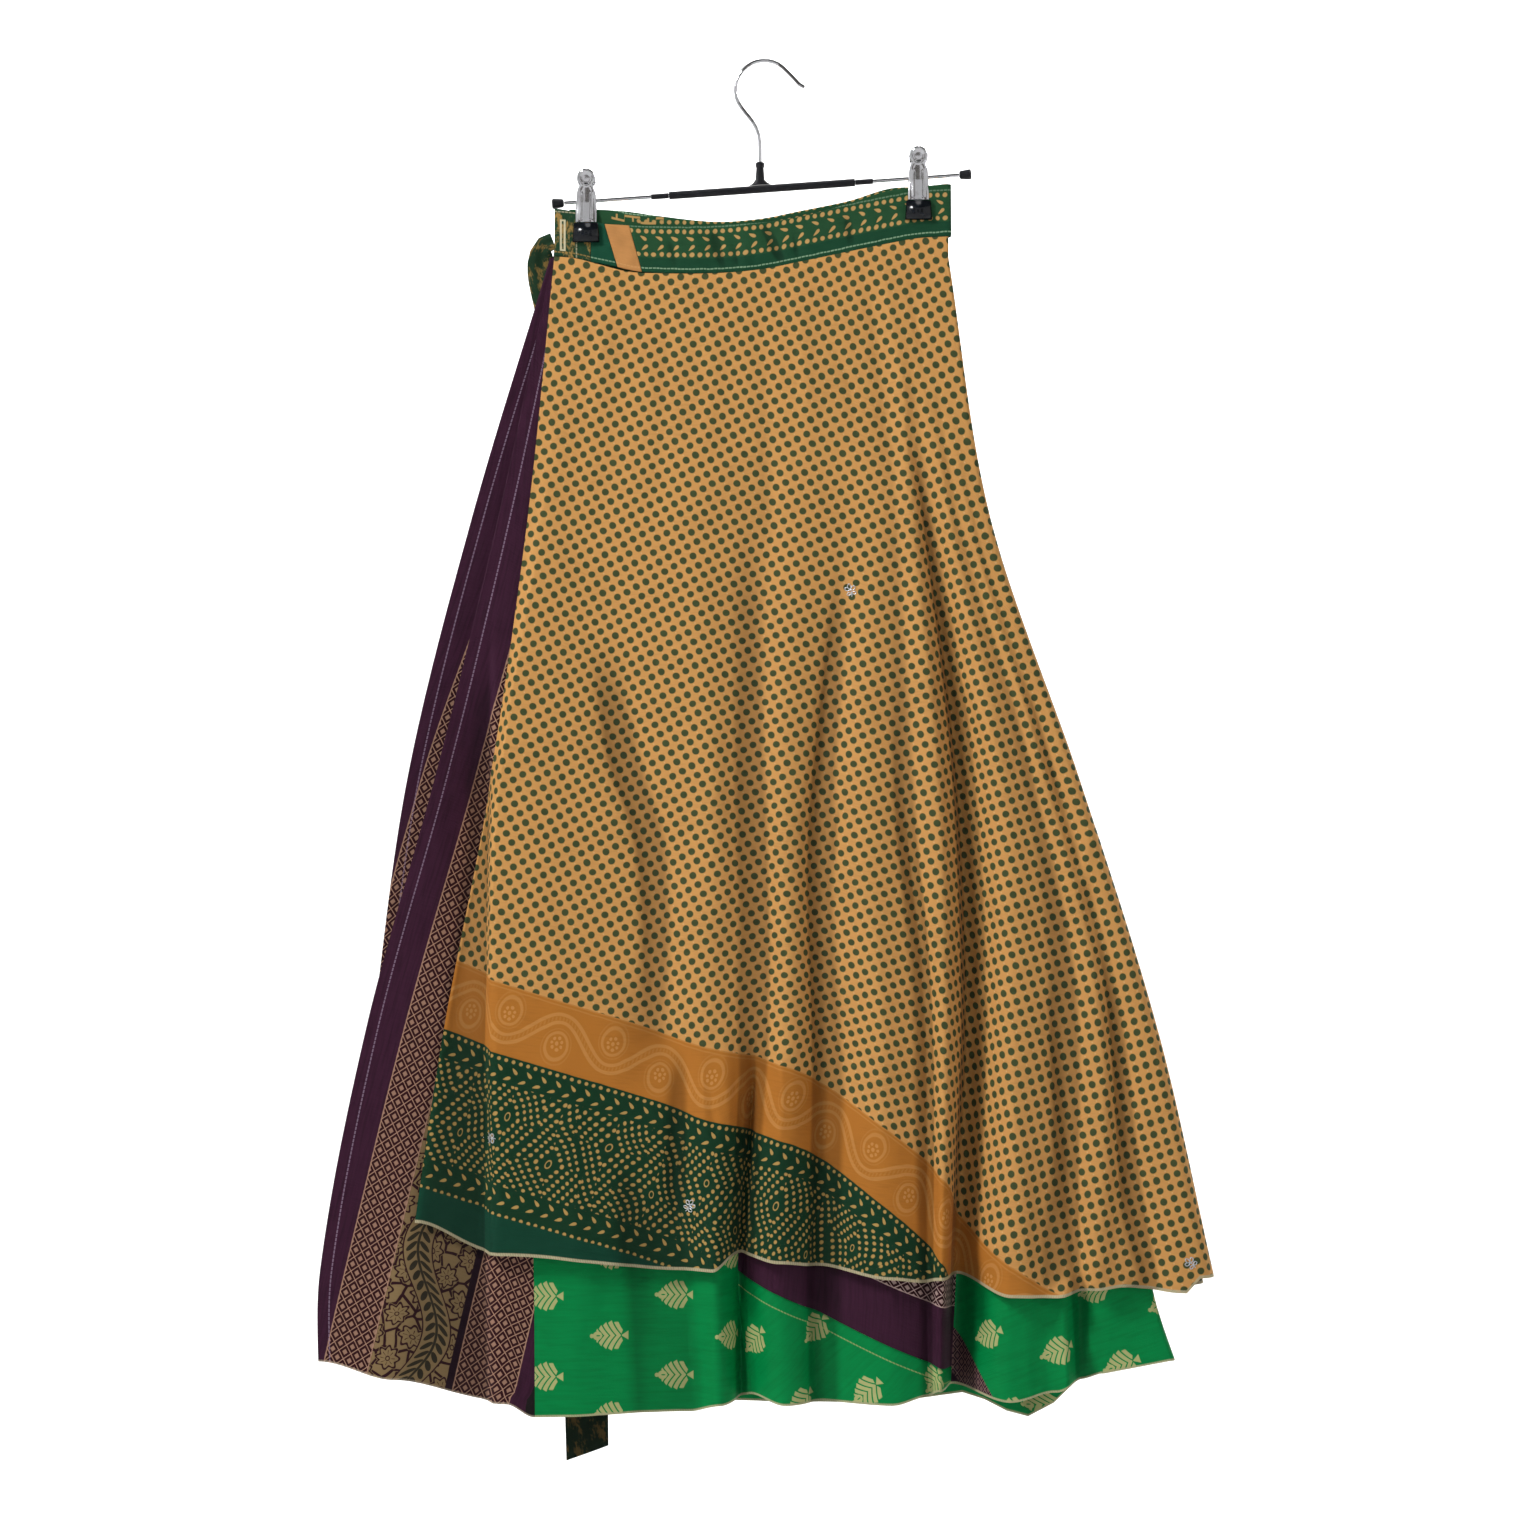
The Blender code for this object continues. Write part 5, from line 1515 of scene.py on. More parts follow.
@dataclass
class Skirt:
    """The two layers of the skirt, folded in four."""

    wall: float = 0.6 * MM
    waist_radius: float = 0.43
    border_tilt: float = 7.2
    fine_rows: int = 150
    plain_rows: int = 90
    corner_rows: int = 24
    seam_left: float = -928 * MM
    seam_right: float = -1003 * MM
    seam_bend: float = 0.85
    seam_gap: float = 0.15 * MM

    def build(self) -> None:
        """Builds both layers."""
        gold = PrintedGold().make()
        self.upper_layer(gold)
        self.lower_layer()

    def lay(self, name: str, surface: Surface, look: Look) -> None:
        """Makes one stretch of cloth, which replaces the node of its name."""
        piece = grid_object(f"{name}_cloth", surface, self.wall)
        show(piece, look, (name,))

    def upper_layer(self, gold: Look) -> None:
        """The dotted layer: near, folded inside and far."""
        near = list(NEAR_FOLDS.values())
        far = list(FAR_FOLDS.values())
        front = Sheet(Hem.UPPER, 6).run(0, near, (2, 4, 3, 2, 2, 3, 3, 1, 2, 2, 3, 2, 2, 1, 3))
        front.turn(0, 3, EDGES["outer_fold"], 14, 1)
        self.lay("overlay_near", self.fan(front, self.fine_rows), gold)

        back = Sheet(Hem.UPPER, 5).run(7, [EDGES["far_free_edge"], *far], (2, 3, 3, 3, 3, 3, 3, 2))
        back.turn(7, 4, EDGES["far_outer_fold"], 14, 1)
        self.lay("overlay_far", self.fan(back, self.fine_rows), gold)

        inner = inner_folds()
        folded = Sheet(Hem.UPPER, 3, 3.0).run(3, inner, (1,) * (len(inner) - 1))
        folded.turn(3, 4, EDGES["overlay_inside"], 8, -1)
        folded.run(4, far[1:], (1,) * (len(far) - 2))
        self.lay("overlay_inside", self.fan(folded, self.plain_rows, False), gold)

    def fan(self, sheet: Sheet, rows: int, evened: bool = True) -> Surface:
        """A stretch of the upper layer with its print."""
        return sheet.surface(rows).lay_fan(self.waist_radius, self.border_tilt, evened)

    def lower_layer(self) -> None:
        """The longer layer beneath, of purple and green gores."""
        near = NEAR_FOLDS
        names = list(near)
        far = list(FAR_FOLDS.values())
        purple = PurpleGore().make()
        far_purple = PurpleGore(name="purple_brocade_far").make()
        green = LeafedGreen().make()
        right_green = LeafedGreen(name="leafed_green_right", tilt=20.0, start_u=-181.0, corner=True).make()

        edge = [EDGES["lower_free_edge"], near["free_edge"], near["inner_fold"], EDGES["green_seam"]]
        sheet = Sheet(Hem.LOWER, 6).run(1, edge, (4, 3, 2))
        surface = sheet.surface(self.fine_rows).lay_from(EDGES["trellis_near"])
        self.lay("gore_purple_near", surface, purple)

        lines = [EDGES["green_seam"], near["valley_1"], near["crest_1"], near["valley_2"]]
        sheet = Sheet(Hem.LOWER, 6).run(1, lines, (2, 2, 2))
        self.lay("gore_green_near", sheet.surface(self.fine_rows).lay_across(), green)
        corner_green = LeafedGreen(name="leafed_green_corner", tilt=40.0, start_u=-158.0, seamed=True).make()
        self.slanted_gore([near[name] for name in names[4:11]], corner_green)

        sheet = Sheet(Hem.LOWER, 5).run(1, [near[name] for name in names[10:15]], (3, 2, 2, 1))
        sheet.turn(1, 2, EDGES["under_fold"], 8, 1)
        self.lay("gore_green_right", sheet.surface(self.fine_rows).lay_across(), right_green)

        inner = inner_folds()
        sheet = Sheet(Hem.LOWER, 3, 3.0).run(2, inner, (1,) * (len(inner) - 1))
        sheet.turn(2, 5, EDGES["under_inside"], 10, -1)
        sheet.run(5, far[1:], (1,) * (len(far) - 2))
        self.lay("under_inside", sheet.surface(self.plain_rows).lay_across(), green)

        gore = EDGES["far_gore_seam"]
        sheet = Sheet(Hem.LOWER, 5).run(6, [EDGES["far_lower_free_edge"], far[0], gore], (5, 2))
        surface = sheet.surface(self.fine_rows).lay_from(EDGES["trellis_far"])
        self.lay("gore_purple_far", surface, far_purple)
        sheet = Sheet(Hem.LOWER, 4).run(6, [gore, *far[1:]], (1, 2, 2, 2, 2, 2, 2))
        sheet.turn(6, 5, EDGES["far_under_fold"], 10, 1)
        self.lay("gore_green_far", sheet.surface(self.fine_rows).lay_across(), green)

    def slanted_gore(self, lines: Sequence[Line], green: Look) -> None:
        """The purple gore and the green corner below its slanting seam."""
        sheet = Sheet(Hem.LOWER, 6).run(1, lines, (2, 2, 3, 1, 2, 2))
        first, last = float(lines[0].x(LOWER_HEM_Z)), float(lines[-1].x(LOWER_HEM_Z))
        hems = [station.foot for station in sheet.stations]
        seams = []
        for station in sheet.stations:
            x = float(station.place(np.array([LOWER_HEM_Z]))[0][0])
            share = float(np.clip((x - first) / (last - first), 0, 1))
            seams.append(mix(self.seam_left, self.seam_right, share**self.seam_bend))
        for station, seam in zip(sheet.stations, seams):
            station.foot = seam + self.seam_gap
        upper = sheet.surface(self.fine_rows).lay_across()
        self.lay("gore_wedge_purple", upper, PurpleWedge().make())
        for station, seam, hem in zip(sheet.stations, seams, hems):
            station.top, station.foot = seam - self.seam_gap, hem
        lower = sheet.surface(self.corner_rows).lay_across()
        self.lay("gore_corner_green", lower, green)


@dataclass(frozen=True)
class BandCrease:
    """A crease down the band, in millimetres.

    at is its x at the band's middle, drift how far it wanders from top to foot, half its
    width, deep how far it dips, and fades how soon below the top it is at its full depth.
    """

    at: float
    drift: float
    half: float
    deep: float
    fades: float

    def dips(self, x: Floats, share: Floats) -> Floats:
        """How far it dips at each x and each share of the way down, in millimetres."""
        gap = (x / MM - self.at - self.drift * (share - 0.5)) / self.half
        along = np.sin(math.pi * np.clip(share, 0.08, 0.94)) * ease(share * self.fades)
        return self.deep * np.exp(-(gap**2)) * along


BAND_CREASES = (
    BandCrease(-36.0, 8.0, 3.4, 1.7, 3.0),
    BandCrease(-20.0, -5.0, 2.2, 0.9, 1.1),
    BandCrease(-8.0, -4.0, 2.4, 1.1, 1.0),
    BandCrease(6.0, 17.0, 4.2, 2.0, 9.0),
    BandCrease(22.0, 8.0, 2.6, 0.9, 1.2),
    BandCrease(64.0, 6.0, 3.4, 0.9, 2.0),
    BandCrease(-72.0, 8.0, 4.0, 0.8, 2.0),
)


@dataclass
class Waistband:
    """The pieced band, folded in four, and the two ties sewn to its ends."""

    wall: float = 1.7 * MM
    tie_wall: float = 1.0 * MM
    left: float = -162.0
    insert: float = -134.0
    patch: float = -118.5
    length: float = -99.5
    right: float = 142.5
    slant: float = 10.0
    inner_left: float = -150.0
    far_left: float = -149.5
    rows: int = 22
    pucker_x: float = -14.0
    pucker_half: float = 46.0
    valley_shade_gain: float = 3.8
    tie_behind: float = 2.6
    tie_columns: int = 11
    tie_step: float = 7.0
    tie_gathers: float = 160.0
    end_slant: float = 12.0
    end_height: float = 60.0

    def build(self) -> None:
        """Builds the band and the ties."""
        insert = PlainSilk(tint(22, 78, 56), "plain_green_insert")
        patch = PlainSilk(tint(206, 146, 86), "orange_patch", tint(214, 160, 100))
        looks = {
            "band_end_mottled": (Mottled(name="mottled_band", buttonhole=True).make(), "mottled_green"),
            "band_insert_green": (insert.make(), "plain_green"),
            "band_patch_orange": (patch.make(), "orange_silk"),
        }
        joins = (self.left, self.insert, self.patch, self.length)
        leans = (0.0, 0.0, self.slant, self.slant)
        for k, (name, (look, slot)) in enumerate(looks.items()):
            path = self.straight(0, joins[k] + 0.1, joins[k + 1] - 0.1, 16)
            self.strip(name, path, leans[k : k + 2], "near_top", look, slot)
        print_look = BandPrint().make()
        end = self.right * MM - BAND_PITCH / 2
        path = self.straight(0, self.length + 0.1, end / MM, 90) + self.turned(0, self.right, 1)
        self.strip("band_near", path, (self.slant, 0.0), "near_top", print_look, "band_green")
        inner = self.inner_left * MM + BAND_PITCH / 2
        path = self.straight(1, end / MM - 0.3, inner / MM, 60) + self.turned(1, self.inner_left, -1)
        path += self.straight(2, inner / MM, end / MM - 0.3, 60)
        stepped = BandPrint(name="waistband_inside", steps=True).make()
        self.strip("band_inside", path, (0.0, 0.0), "back_top", stepped, "band_green")
        path = self.straight(3, self.far_left, end / MM, 90) + self.turned(2, self.right, 1)[::-1]
        self.strip("band_far", path, (0.0, 0.0), "back_top", print_look, "band_green")
        # The tie's silk is a darker copy of the band's mottled silk: painted shade for the tie that hangs
        # behind the skirt
        mottled = Mottled(name="mottled_tie", green=tint(32, 58, 38), gold=tint(146, 116, 62), darkens=True)
        self.tie("tie_mottled", MOTTLED_TIE, mottled.make())
        plain = PlainSilk(tint(26, 80, 56), "plain_tie", stitched=2.0)
        self.tie("tie_plain", PLAIN_TIE, plain.make())

    def straight(self, ply: int, first: float, last: float, count: int) -> list[tuple[float, float]]:
        """(x, y) pairs along one ply, between two places in millimetres."""
        return [(x * MM, (ply - 1.5) * BAND_PITCH) for x in np.linspace(first, last, count)]

    def turned(self, ply: int, edge: float, side: int, steps: int = 8) -> list[tuple[float, float]]:
        """(x, y) pairs round the fold from a ply to the next, without its two ends."""
        radius = BAND_PITCH / 2
        middle = (ply - 1) * BAND_PITCH
        pairs = []
        for k in range(1, steps):
            angle = math.pi * k / steps
            x = edge * MM + side * radius * (math.sin(angle) - 1)
            pairs.append((x, middle - radius * math.cos(angle)))
        return pairs

    def strip(
        self,
        name: str,
        path: Sequence[tuple[float, float]],
        lean: Sequence[float],
        top_key: str,
        look: Look,
        slot: str,
    ) -> None:
        """Builds one stretch of the band.

        Args:
            name: The node that it replaces.
            path: Its (x, y) pairs.
            lean: How far its two ends slant.
            top_key: The edge that it reaches up to.
            look: Its material.
            slot: Not used.
        """
        x0, y0 = (np.array(part) for part in zip(*path))
        share = np.linspace(0, 1, self.rows)[:, None]
        foot, top = band_edge(x0, "foot"), band_edge(x0, top_key)
        z = mix(top, foot, share)
        x = x0 - mix(lean[0], lean[1], np.linspace(0, 1, len(path))) * MM * (0.5 - share)
        nearness = np.exp(-(((x / MM - self.pucker_x) / self.pucker_half) ** 2))
        puckered = 0.45 + 2.6 * nearness * (0.35 + 0.65 * share)
        slant = x / MM - 7 * share
        sag = 0.34 * np.sin(slant / 8.2) + 0.30 * np.sin(slant / 3.1 + 2 * share) * np.sin(x / (23 * MM))
        sag = sag * puckered * np.sin(math.pi * share)
        for crease in BAND_CREASES:
            sag = sag + crease.dips(x, share)
        surface = Surface(x, y0 + sag * MM, z)
        surface.prints["cloth"] = (x, z - foot)
        # The band's folds get the same painted shade in their valleys, made stronger by the gain
        surface.prints["fold"] = (surface.valleys(BAND_FOLDS) * self.valley_shade_gain, np.zeros_like(x))
        piece = grid_object(f"{name}_cloth", surface, self.wall)
        soften(piece, 0.5 * MM)
        show(piece, look, (name,))

    def tie(self, name: str, rows: "Sequence[TieRow]", look: Look) -> None:
        """Builds one tie, a flat tube of silk that hangs behind the skirt.

        Args:
            name: The node that it replaces.
            rows: The places along its middle line.
            look: Its material.
        """
        down = np.cumsum([0.0] + [math.hypot(b.x - a.x, b.z - a.z) for a, b in zip(rows, rows[1:])])
        at = np.linspace(0, down[-1], max(60, int(down[-1] / self.tie_step)))
        x = curve_through(down, [row.x for row in rows], at) * MM
        z = curve_through(down, [row.z for row in rows], at) * MM
        width = curve_through(down, [row.width for row in rows], at) * MM
        held = curve_through(down, [float(row.y is None) for row in rows], at)
        given = curve_through(down, [0.0 if row.y is None else row.y for row in rows], at) * MM
        lean = np.stack([-np.gradient(z), np.gradient(x)])
        lean /= np.linalg.norm(lean, axis=0)
        share = np.linspace(-0.5, 0.5, self.tie_columns)
        across_x = x[:, None] + lean[0][:, None] * width[:, None] * share
        across_z = z[:, None] + lean[1][:, None] * width[:, None] * share
        ending = (at - down[-1] + self.end_height) / self.end_height
        cut = ease(ending)[:, None] * self.end_slant * MM
        across_z = across_z + cut * (share - 0.5)
        behind = depth(LAYER_COUNT - 1, across_x, across_z) + self.tie_behind * MM
        y = mix(given[:, None], behind, np.clip(held, 0, 1)[:, None])
        gathered = np.clip(1 - at / self.tie_gathers, 0, 1)[:, None]
        folds = 0.5 * MM * np.cos(share * 4 * math.pi) * gathered
        surface = Surface(across_x, y + folds, across_z)
        surface.prints["cloth"] = (surface.over, surface.down)
        piece = grid_object(f"{name}_cloth", surface, self.tie_wall)
        soften(piece, 0.3 * MM)
        show(piece, look, (name,))


@dataclass(frozen=True)
class TieRow:
    """A place along a tie's middle line, in millimetres; y is given where it leaves the band."""

    x: float
    z: float
    width: float
    y: float | None = None


MOTTLED_TIE = (
    TieRow(-162.9, -138, 13, -4.05),
    TieRow(-166.5, -138.5, 14, -3.2),
    TieRow(-171.5, -143, 15, 0.0),
    TieRow(-172.4, -151, 21.2, 5.0),
    TieRow(-172.6, -163, 21.6, 8.3),
    TieRow(-170.4, -183, 18),
    TieRow(-166, -205, 18),
    TieRow(-164, -240, 22),
    TieRow(-161, -297, 24),
    TieRow(-157, -452, 27),
    TieRow(-151, -607, 29),
    TieRow(-145, -764, 31),
    TieRow(-141, -922, 32),
    TieRow(-139.5, -1024, 34),
    TieRow(-138.5, -1072, 33),
)
PLAIN_TIE = (
    TieRow(-152.0, -136, 11, 4.05),
    TieRow(-154.5, -136.6, 11, 4.4),
    TieRow(-157, -141, 12, 6.2),
    TieRow(-157, -151, 12, 8.2),
    TieRow(-152, -168, 13),
    TieRow(-146, -204, 16),
    TieRow(-133, -297, 23),
    TieRow(-124, -452, 28),
    TieRow(-114, -607, 29),
    TieRow(-105, -764, 29),
    TieRow(-98, -922, 29),
    TieRow(-94, -1018, 29),
)


def soften(piece: bpy.types.Object, width: float) -> None:
    """Rounds a shell's edges."""
    edges = piece.modifiers.new("rounded", "BEVEL")
    edges.width = width
    edges.segments = 2
    edges.limit_method = "ANGLE"
    edges.angle_limit = math.radians(50)


@dataclass(frozen=True)
class SprigPlace:
    """Where a sprig's middle is, in millimetres, and its turn in radians."""

    x: float
    z: float
    turn: float


@dataclass
class Sprigs:
    """Four small sprigs worked in silver thread on the upper layer."""

    places: tuple[SprigPlace, ...] = (
        SprigPlace(65.5, -407.0, 0.3),
        SprigPlace(-57.4, -875.7, -0.5),
        SprigPlace(323.0, -919.0, 0.9),
        SprigPlace(-209.7, -824.6, 1.7),
    )
    strokes: tuple[tuple[tuple[float, float], ...], ...] = (
        ((-0.6, -5.2), (0.3, -2.6), (0.0, 0.4)),
        ((0.0, 0.4), (-1.5, 2.2), (-0.9, 4.3), (0.4, 4.9), (1.1, 3.1), (0.1, 0.5)),
        ((0.0, 0.4), (-2.3, 0.1), (-3.9, 1.5), (-3.1, 2.9), (-1.4, 2.1), (-0.1, 0.5)),
        ((0.0, 0.3), (2.1, -0.5), (3.9, 0.7), (3.5, 2.4), (1.6, 1.9), (0.1, 0.4)),
        ((0.1, -2.6), (-1.7, -3.6), (-3.5, -2.8), (-2.3, -1.5), (0.1, -2.4)),
        ((0.3, -2.4), (1.5, -3.9), (3.4, -3.4), (2.8, -1.8), (0.3, -2.2)),
    )
    thread: float = 0.38 * MM
    lift: float = 0.45 * MM
    samples: int = 15
    sides: int = 6

    def build(self) -> None:
        """Builds each sprig on the cloth."""
        silver = Metal("silver_thread", (0.78, 0.80, 0.84), 0.34, 1.0).make()
        for k, place in enumerate(self.places):
            self.sprig(f"silver_sprig_{k + 1}", place, silver)

    def sprig(self, name: str, place: SprigPlace, look: Look) -> None:
        """One sprig, laid on the cloth at its place."""
        c, s = math.cos(place.turn), math.sin(place.turn)
        verts: list[Floats] = []
        faces: list[tuple[int, ...]] = []
        for stroke in self.strokes:
            at = np.linspace(0, len(stroke) - 1, self.samples)
            u = curve_through(range(len(stroke)), [point[0] for point in stroke], at)
            v = curve_through(range(len(stroke)), [point[1] for point in stroke], at)
            across = (place.x + u * c - v * s) * MM
            up = (place.z + u * s + v * c) * MM
            line = np.stack([across, depth(0, across, up) - self.lift, up], axis=-1)
            self.sweep(line, verts, faces)
        piece = added(name, smooth_mesh(name, [tuple(vert) for vert in verts], faces))
        show(piece, look)

    def sweep(self, line: Floats, verts: list[Floats], faces: list[tuple[int, ...]]) -> None:
        """Adds a round thread along a line to lists of points and of faces."""
        first = len(verts)
        ahead = np.gradient(line, axis=0)
        ahead /= np.linalg.norm(ahead, axis=1)[:, None]
        side = np.cross(ahead, (0.0, 1.0, 0.0))
        side /= np.linalg.norm(side, axis=1)[:, None]
        out = np.cross(side, ahead)
        for k in range(len(line)):
            for j in range(self.sides):
                angle = 2 * math.pi * j / self.sides
                verts.append(line[k] + self.thread * (side[k] * math.cos(angle) + out[k] * math.sin(angle)))
        for k in range(len(line) - 1):
            for j in range(self.sides):
                a, b = first + k * self.sides + j, first + k * self.sides + (j + 1) % self.sides
                faces.append((a, b, b + self.sides, a + self.sides))
        faces.append(tuple(range(first, first + self.sides))[::-1])
        last = first + (len(line) - 1) * self.sides
        faces.append(tuple(range(last, last + self.sides)))


@dataclass(frozen=True)
class PlateRow:
    """A clip plate at one height above the clip's foot: its half width and how far out it stands."""

    up: float
    half: float
    out: float


PLATE_ROWS = (
    PlateRow(15.7, 8.1, 6.6),
    PlateRow(22.0, 8.1, 6.0),
    PlateRow(31.0, 7.5, 5.1),
    PlateRow(34.5, 7.3, 5.1),
    PlateRow(38.0, 7.1, 5.1),
    PlateRow(41.0, 6.5, 5.4),
    PlateRow(44.6, 5.1, 6.1),
    PlateRow(47.0, 6.5, 6.8),
    PlateRow(49.5, 7.0, 7.5),
    PlateRow(52.3, 6.4, 8.1),
    PlateRow(54.8, 4.6, 8.5),
    PlateRow(56.3, 1.7, 8.6),
)


@dataclass
class Hanger:
    """The clip hanger's finishes and the stamped plates of its clips."""

    plate_wall: float = 0.7 * MM
    plate_steps: int = 80
    plate_columns: int = 31
    edge_fall: float = 0.8
    ridge_out: float = 3.9
    ridge_half: float = 0.8
    ridge_height: float = 0.55
    head_up: float = 49.5
    dimple: float = 5.2
    dimple_deep: float = 0.9

    def build(self) -> None:
        """Dresses the hanger and builds its plates."""
        steel = Metal().make()
        black = Moulded("moulded_black", (0.010, 0.010, 0.013), 0.30).make()
        dipped = Moulded("dipped_vinyl", (0.006, 0.008, 0.011), 0.09, grain=0.05, gloss=0.4, swell=5.0)
        clips = [f"clip_{side}_{face}" for side in ("left", "right") for face in ("front", "back")]
        looks = {
            steel: ("hanger_hook", "hanger_rod", "clip_left_spring", "clip_right_spring"),
            black: ("hanger_neck", "hanger_bar", "sleeve_left", "sleeve_right", "cap_left", "cap_right"),
            dipped.make(): [f"{clip}_pad" for clip in clips],
        }
        for look, nodes in looks.items():
            for name in nodes:
                node = bpy.data.objects[name]
                node.material_slots[0].material = look
                LOG.info("dressed %s", name)
        for clip in clips:
            self.plate(f"{clip}_plate", -1 if clip.endswith("front") else 1, steel)

    def plate(self, name: str, side: int, look: Look) -> None:
        """One stamped plate: ridges down its body and a thumb dimple in its round head."""
        low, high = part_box(name)
        first, last = PLATE_ROWS[0].up, PLATE_ROWS[-1].up
        middle, foot = (low[0] + high[0]) / 2, low[2] - first * MM
        up = np.linspace(first, last, self.plate_steps)
        heights = [row.up for row in PLATE_ROWS]
        half = curve_through(heights, [row.half for row in PLATE_ROWS], up)
        out = curve_through(heights, [row.out for row in PLATE_ROWS], up)
        share = np.linspace(-1, 1, self.plate_columns)
        x = half[:, None] * share
        tall = np.tile(up[:, None], (1, len(share)))
        lift = np.tile(out[:, None], (1, len(share)))
        lift = lift - self.edge_fall * share**2 - self.edge_fall * np.abs(share) ** 6
        body = ease((tall - 16) / 3) * (1 - ease((tall - 36) / 5))
        ridges = sum(np.exp(-(((x + way * self.ridge_out) / self.ridge_half) ** 2)) for way in (-1, 1))
        lift = lift + body * self.ridge_height * ridges
        reach = np.hypot(x, tall - self.head_up) / self.dimple
        rim = 0.35 * np.exp(-(((reach - 1.08) / 0.14) ** 2))
        lift = lift - self.dimple_deep * (1 - ease((reach - 0.55) / 0.4)) + rim
        surface = Surface(middle + x * MM, side * lift * MM, foot + tall * MM)
        piece = grid_object(f"{name}_stamped", surface, self.plate_wall)
        show(piece, look, (name,))


@dataclass(frozen=True)
class Lamp:
    """A soft square light that faces the object: its place and side in metres, and its watts."""

    name: str
    place: Place3
    size: float
    power: float


@dataclass(frozen=True)
class WallLight:
    """A light on the wall: the degrees at which it stands and that it faces, and its watts."""

    stands: float
    faces: float
    power: float


@dataclass(frozen=True)
class Card:
    """An upright dark card: the degrees at which it stands, how far out, and its width."""

    stands: float
    radius: float
    width: float


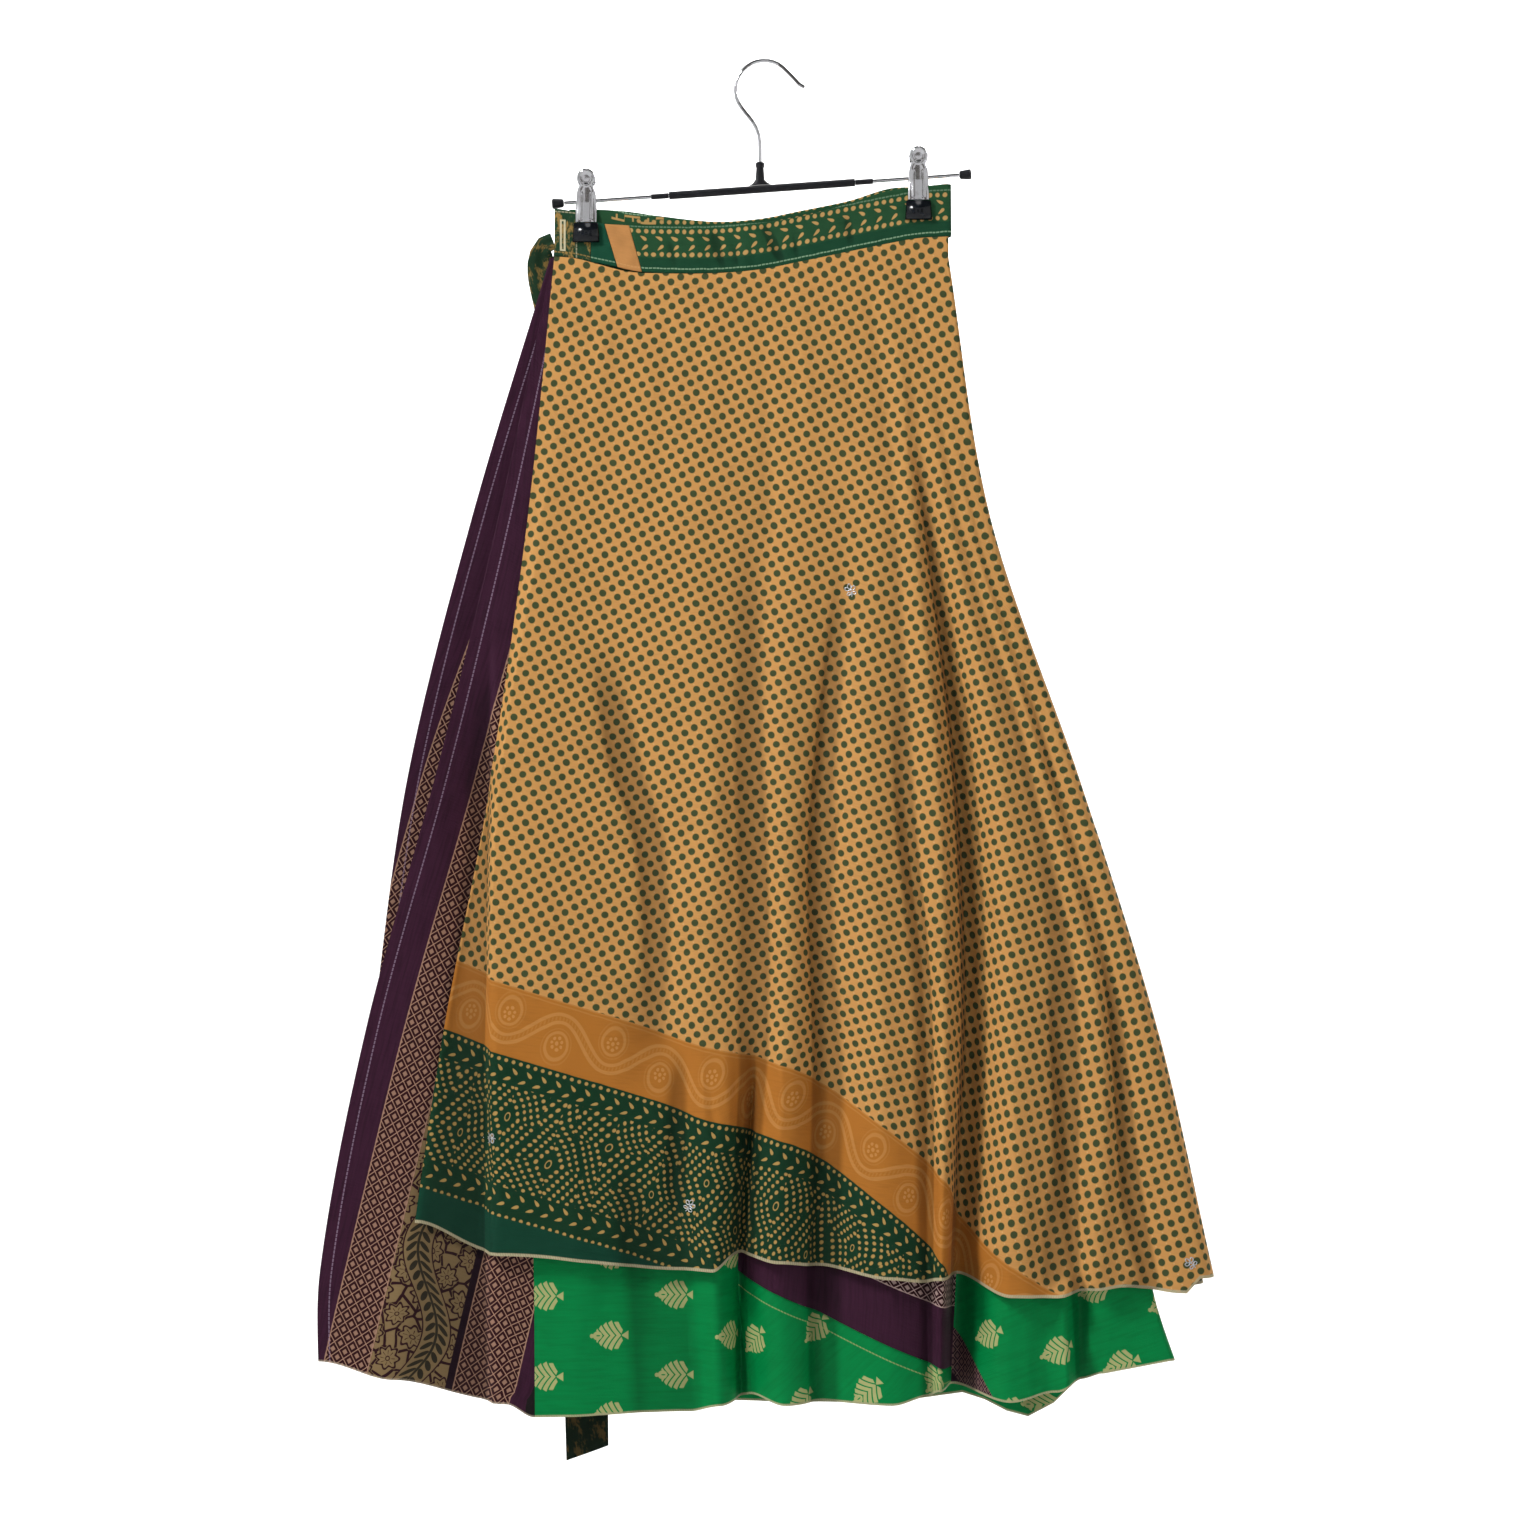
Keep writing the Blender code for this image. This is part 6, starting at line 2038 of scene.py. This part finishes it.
@dataclass
class Studio:
    """The pale round room, the soft lights, the dark cards and the camera."""

    middle_x: float = -3.85 * MM
    middle_z: float = -537.2 * MM
    distance: float = 2.8
    lens: float = 86.1
    floor: float = -1.95
    room_radius: float = 4.4
    room_bend: float = 1.1
    room_height: float = 4.6
    lamps: tuple[Lamp, ...] = (
        Lamp("key", (-2.1, -1.6, 1.5), 0.7, 72.0),
        Lamp("fill", (1.7, -2.9, 0.1), 1.6, 2.0),
        Lamp("top", (0.2, -0.7, 2.2), 1.0, 8.0),
        Lamp("back_key", (2.3, 2.0, 1.3), 0.9, 40.0),
        Lamp("back_fill", (-2.3, 1.9, 0.6), 1.2, 8.0),
    )
    wall_lights: tuple[WallLight, ...] = (
        WallLight(70.0, 83.0, 84.0),
        WallLight(110.0, 97.0, 84.0),
        WallLight(10.0, 10.0, 5.0),
        WallLight(170.0, 170.0, 5.0),
        WallLight(250.0, 250.0, 6.0),
        WallLight(290.0, 290.0, 6.0),
    )
    cards: tuple[Card, ...] = (
        Card(270.0, 3.7, 1.1),
        Card(241.0, 2.4, 0.7),
        Card(301.0, 2.4, 0.8),
        Card(100.0, 2.6, 0.8),
    )
    card_colour: Colour = (0.12, 0.11, 0.10)

    def build(self) -> None:
        """Builds the studio."""
        self.room()
        aim = (self.middle_x, 0.0, self.middle_z)
        for lamp in self.lamps:
            self.light(lamp, aim)
        for wall in self.wall_lights:
            lamp = Lamp("wall", self.on_circle(3.1, wall.stands, 1.1), 1.6, wall.power)
            self.light(lamp, self.on_circle(self.room_radius, wall.faces, -0.6))
        for card in self.cards:
            self.card(card)
        world = bpy.data.worlds.new("studio")
        bpy.context.scene.world = world
        world.use_nodes = True
        air = world.node_tree.nodes["Background"]
        air.inputs["Color"].default_value = (1.0, 1.0, 1.0, 1.0)
        air.inputs["Strength"].default_value = 0.05
        bpy.context.scene.view_settings.view_transform = "Standard"
        self.camera()

    def card(self, card: Card) -> None:
        """Stands up one card, which only shows as a reflection in the metal.

        Args:
            card: Its place and width.
        """
        middle = Vector(self.on_circle(card.radius, card.stands, -0.2))
        side = Vector(self.on_circle(card.width / 2, card.stands + 90.0, 0.0))
        rise = Vector((0.0, 0.0, 1.1))
        mesh = bpy.data.meshes.new("card")
        corners = (middle - side - rise, middle + side - rise, middle + side + rise, middle - side + rise)
        mesh.from_pydata([tuple(point) for point in corners], [], [(0, 1, 2, 3)])
        paint = Paint("dark_card")
        mesh.materials.append(paint.finish(paint.over(self.card_colour, self.card_colour, 0.0), 0.9))
        made = added("card", mesh)
        made.visible_camera = made.visible_diffuse = made.visible_shadow = False

    def on_circle(self, radius: float, degrees: float, height: float) -> Place3:
        """A point at a height on an upright cylinder round the object."""
        return radius * math.cos(math.radians(degrees)), radius * math.sin(math.radians(degrees)), height

    def room(self) -> None:
        """A round floor that bends up into a wall, wide enough to hold the camera at any angle."""
        flat = self.room_radius - self.room_bend
        profile = [(0.02, 0.0), (flat * 0.5, 0.0), (flat, 0.0)]
        for angle in np.linspace(0.1, math.pi / 2, 16):
            profile.append((flat + self.room_bend * math.sin(angle), self.room_bend * (1 - math.cos(angle))))
        profile.append((self.room_radius, self.room_height))
        sides = 120
        turns = np.linspace(0, 2 * math.pi, sides, endpoint=False)
        verts = [(r * math.cos(a), r * math.sin(a), self.floor + z) for r, z in profile for a in turns]
        faces = [tuple(range(sides))]
        for k in range(len(profile) - 1):
            for j in range(sides):
                a, b = k * sides + j, k * sides + (j + 1) % sides
                faces.append((a, a + sides, b + sides, b))
        mesh = smooth_mesh("room", verts, faces)
        paint = Paint("pale_room")
        colour = paint.over((0.74, 0.74, 0.74), (0.70, 0.70, 0.70), paint.speckle(1.5, 2.0))
        mesh.materials.append(paint.finish(colour, 0.9))
        added("room", mesh)

    def light(self, lamp: Lamp, aim: Place3) -> None:
        """Hangs one soft square light.

        Args:
            lamp: Its name, place, size and power.
            aim: The point that it faces.
        """
        glow = bpy.data.lights.new(lamp.name, "AREA")
        glow.size = lamp.size
        glow.energy = lamp.power
        made = added(lamp.name, glow)
        made.location = lamp.place
        made.rotation_euler = (Vector(aim) - made.location).to_track_quat("-Z", "Y").to_euler()
        made.visible_camera = False

    def camera(self) -> None:
        """The level camera in front."""
        lens = bpy.data.cameras.new("camera")
        lens.lens = self.lens
        lens.sensor_width = 36
        made = added("camera", lens)
        made.location = (self.middle_x, -self.distance, self.middle_z)
        made.rotation_euler = (math.pi / 2, 0, 0)
        bpy.context.scene.camera = made


def main() -> None:
    """Builds every piece."""
    logging.basicConfig(level=logging.INFO, format="%(message)s")
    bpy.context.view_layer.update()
    Studio().build()
    Skirt().build()
    Waistband().build()
    Sprigs().build()
    Hanger().build()


if __name__ == "__main__":
    main()
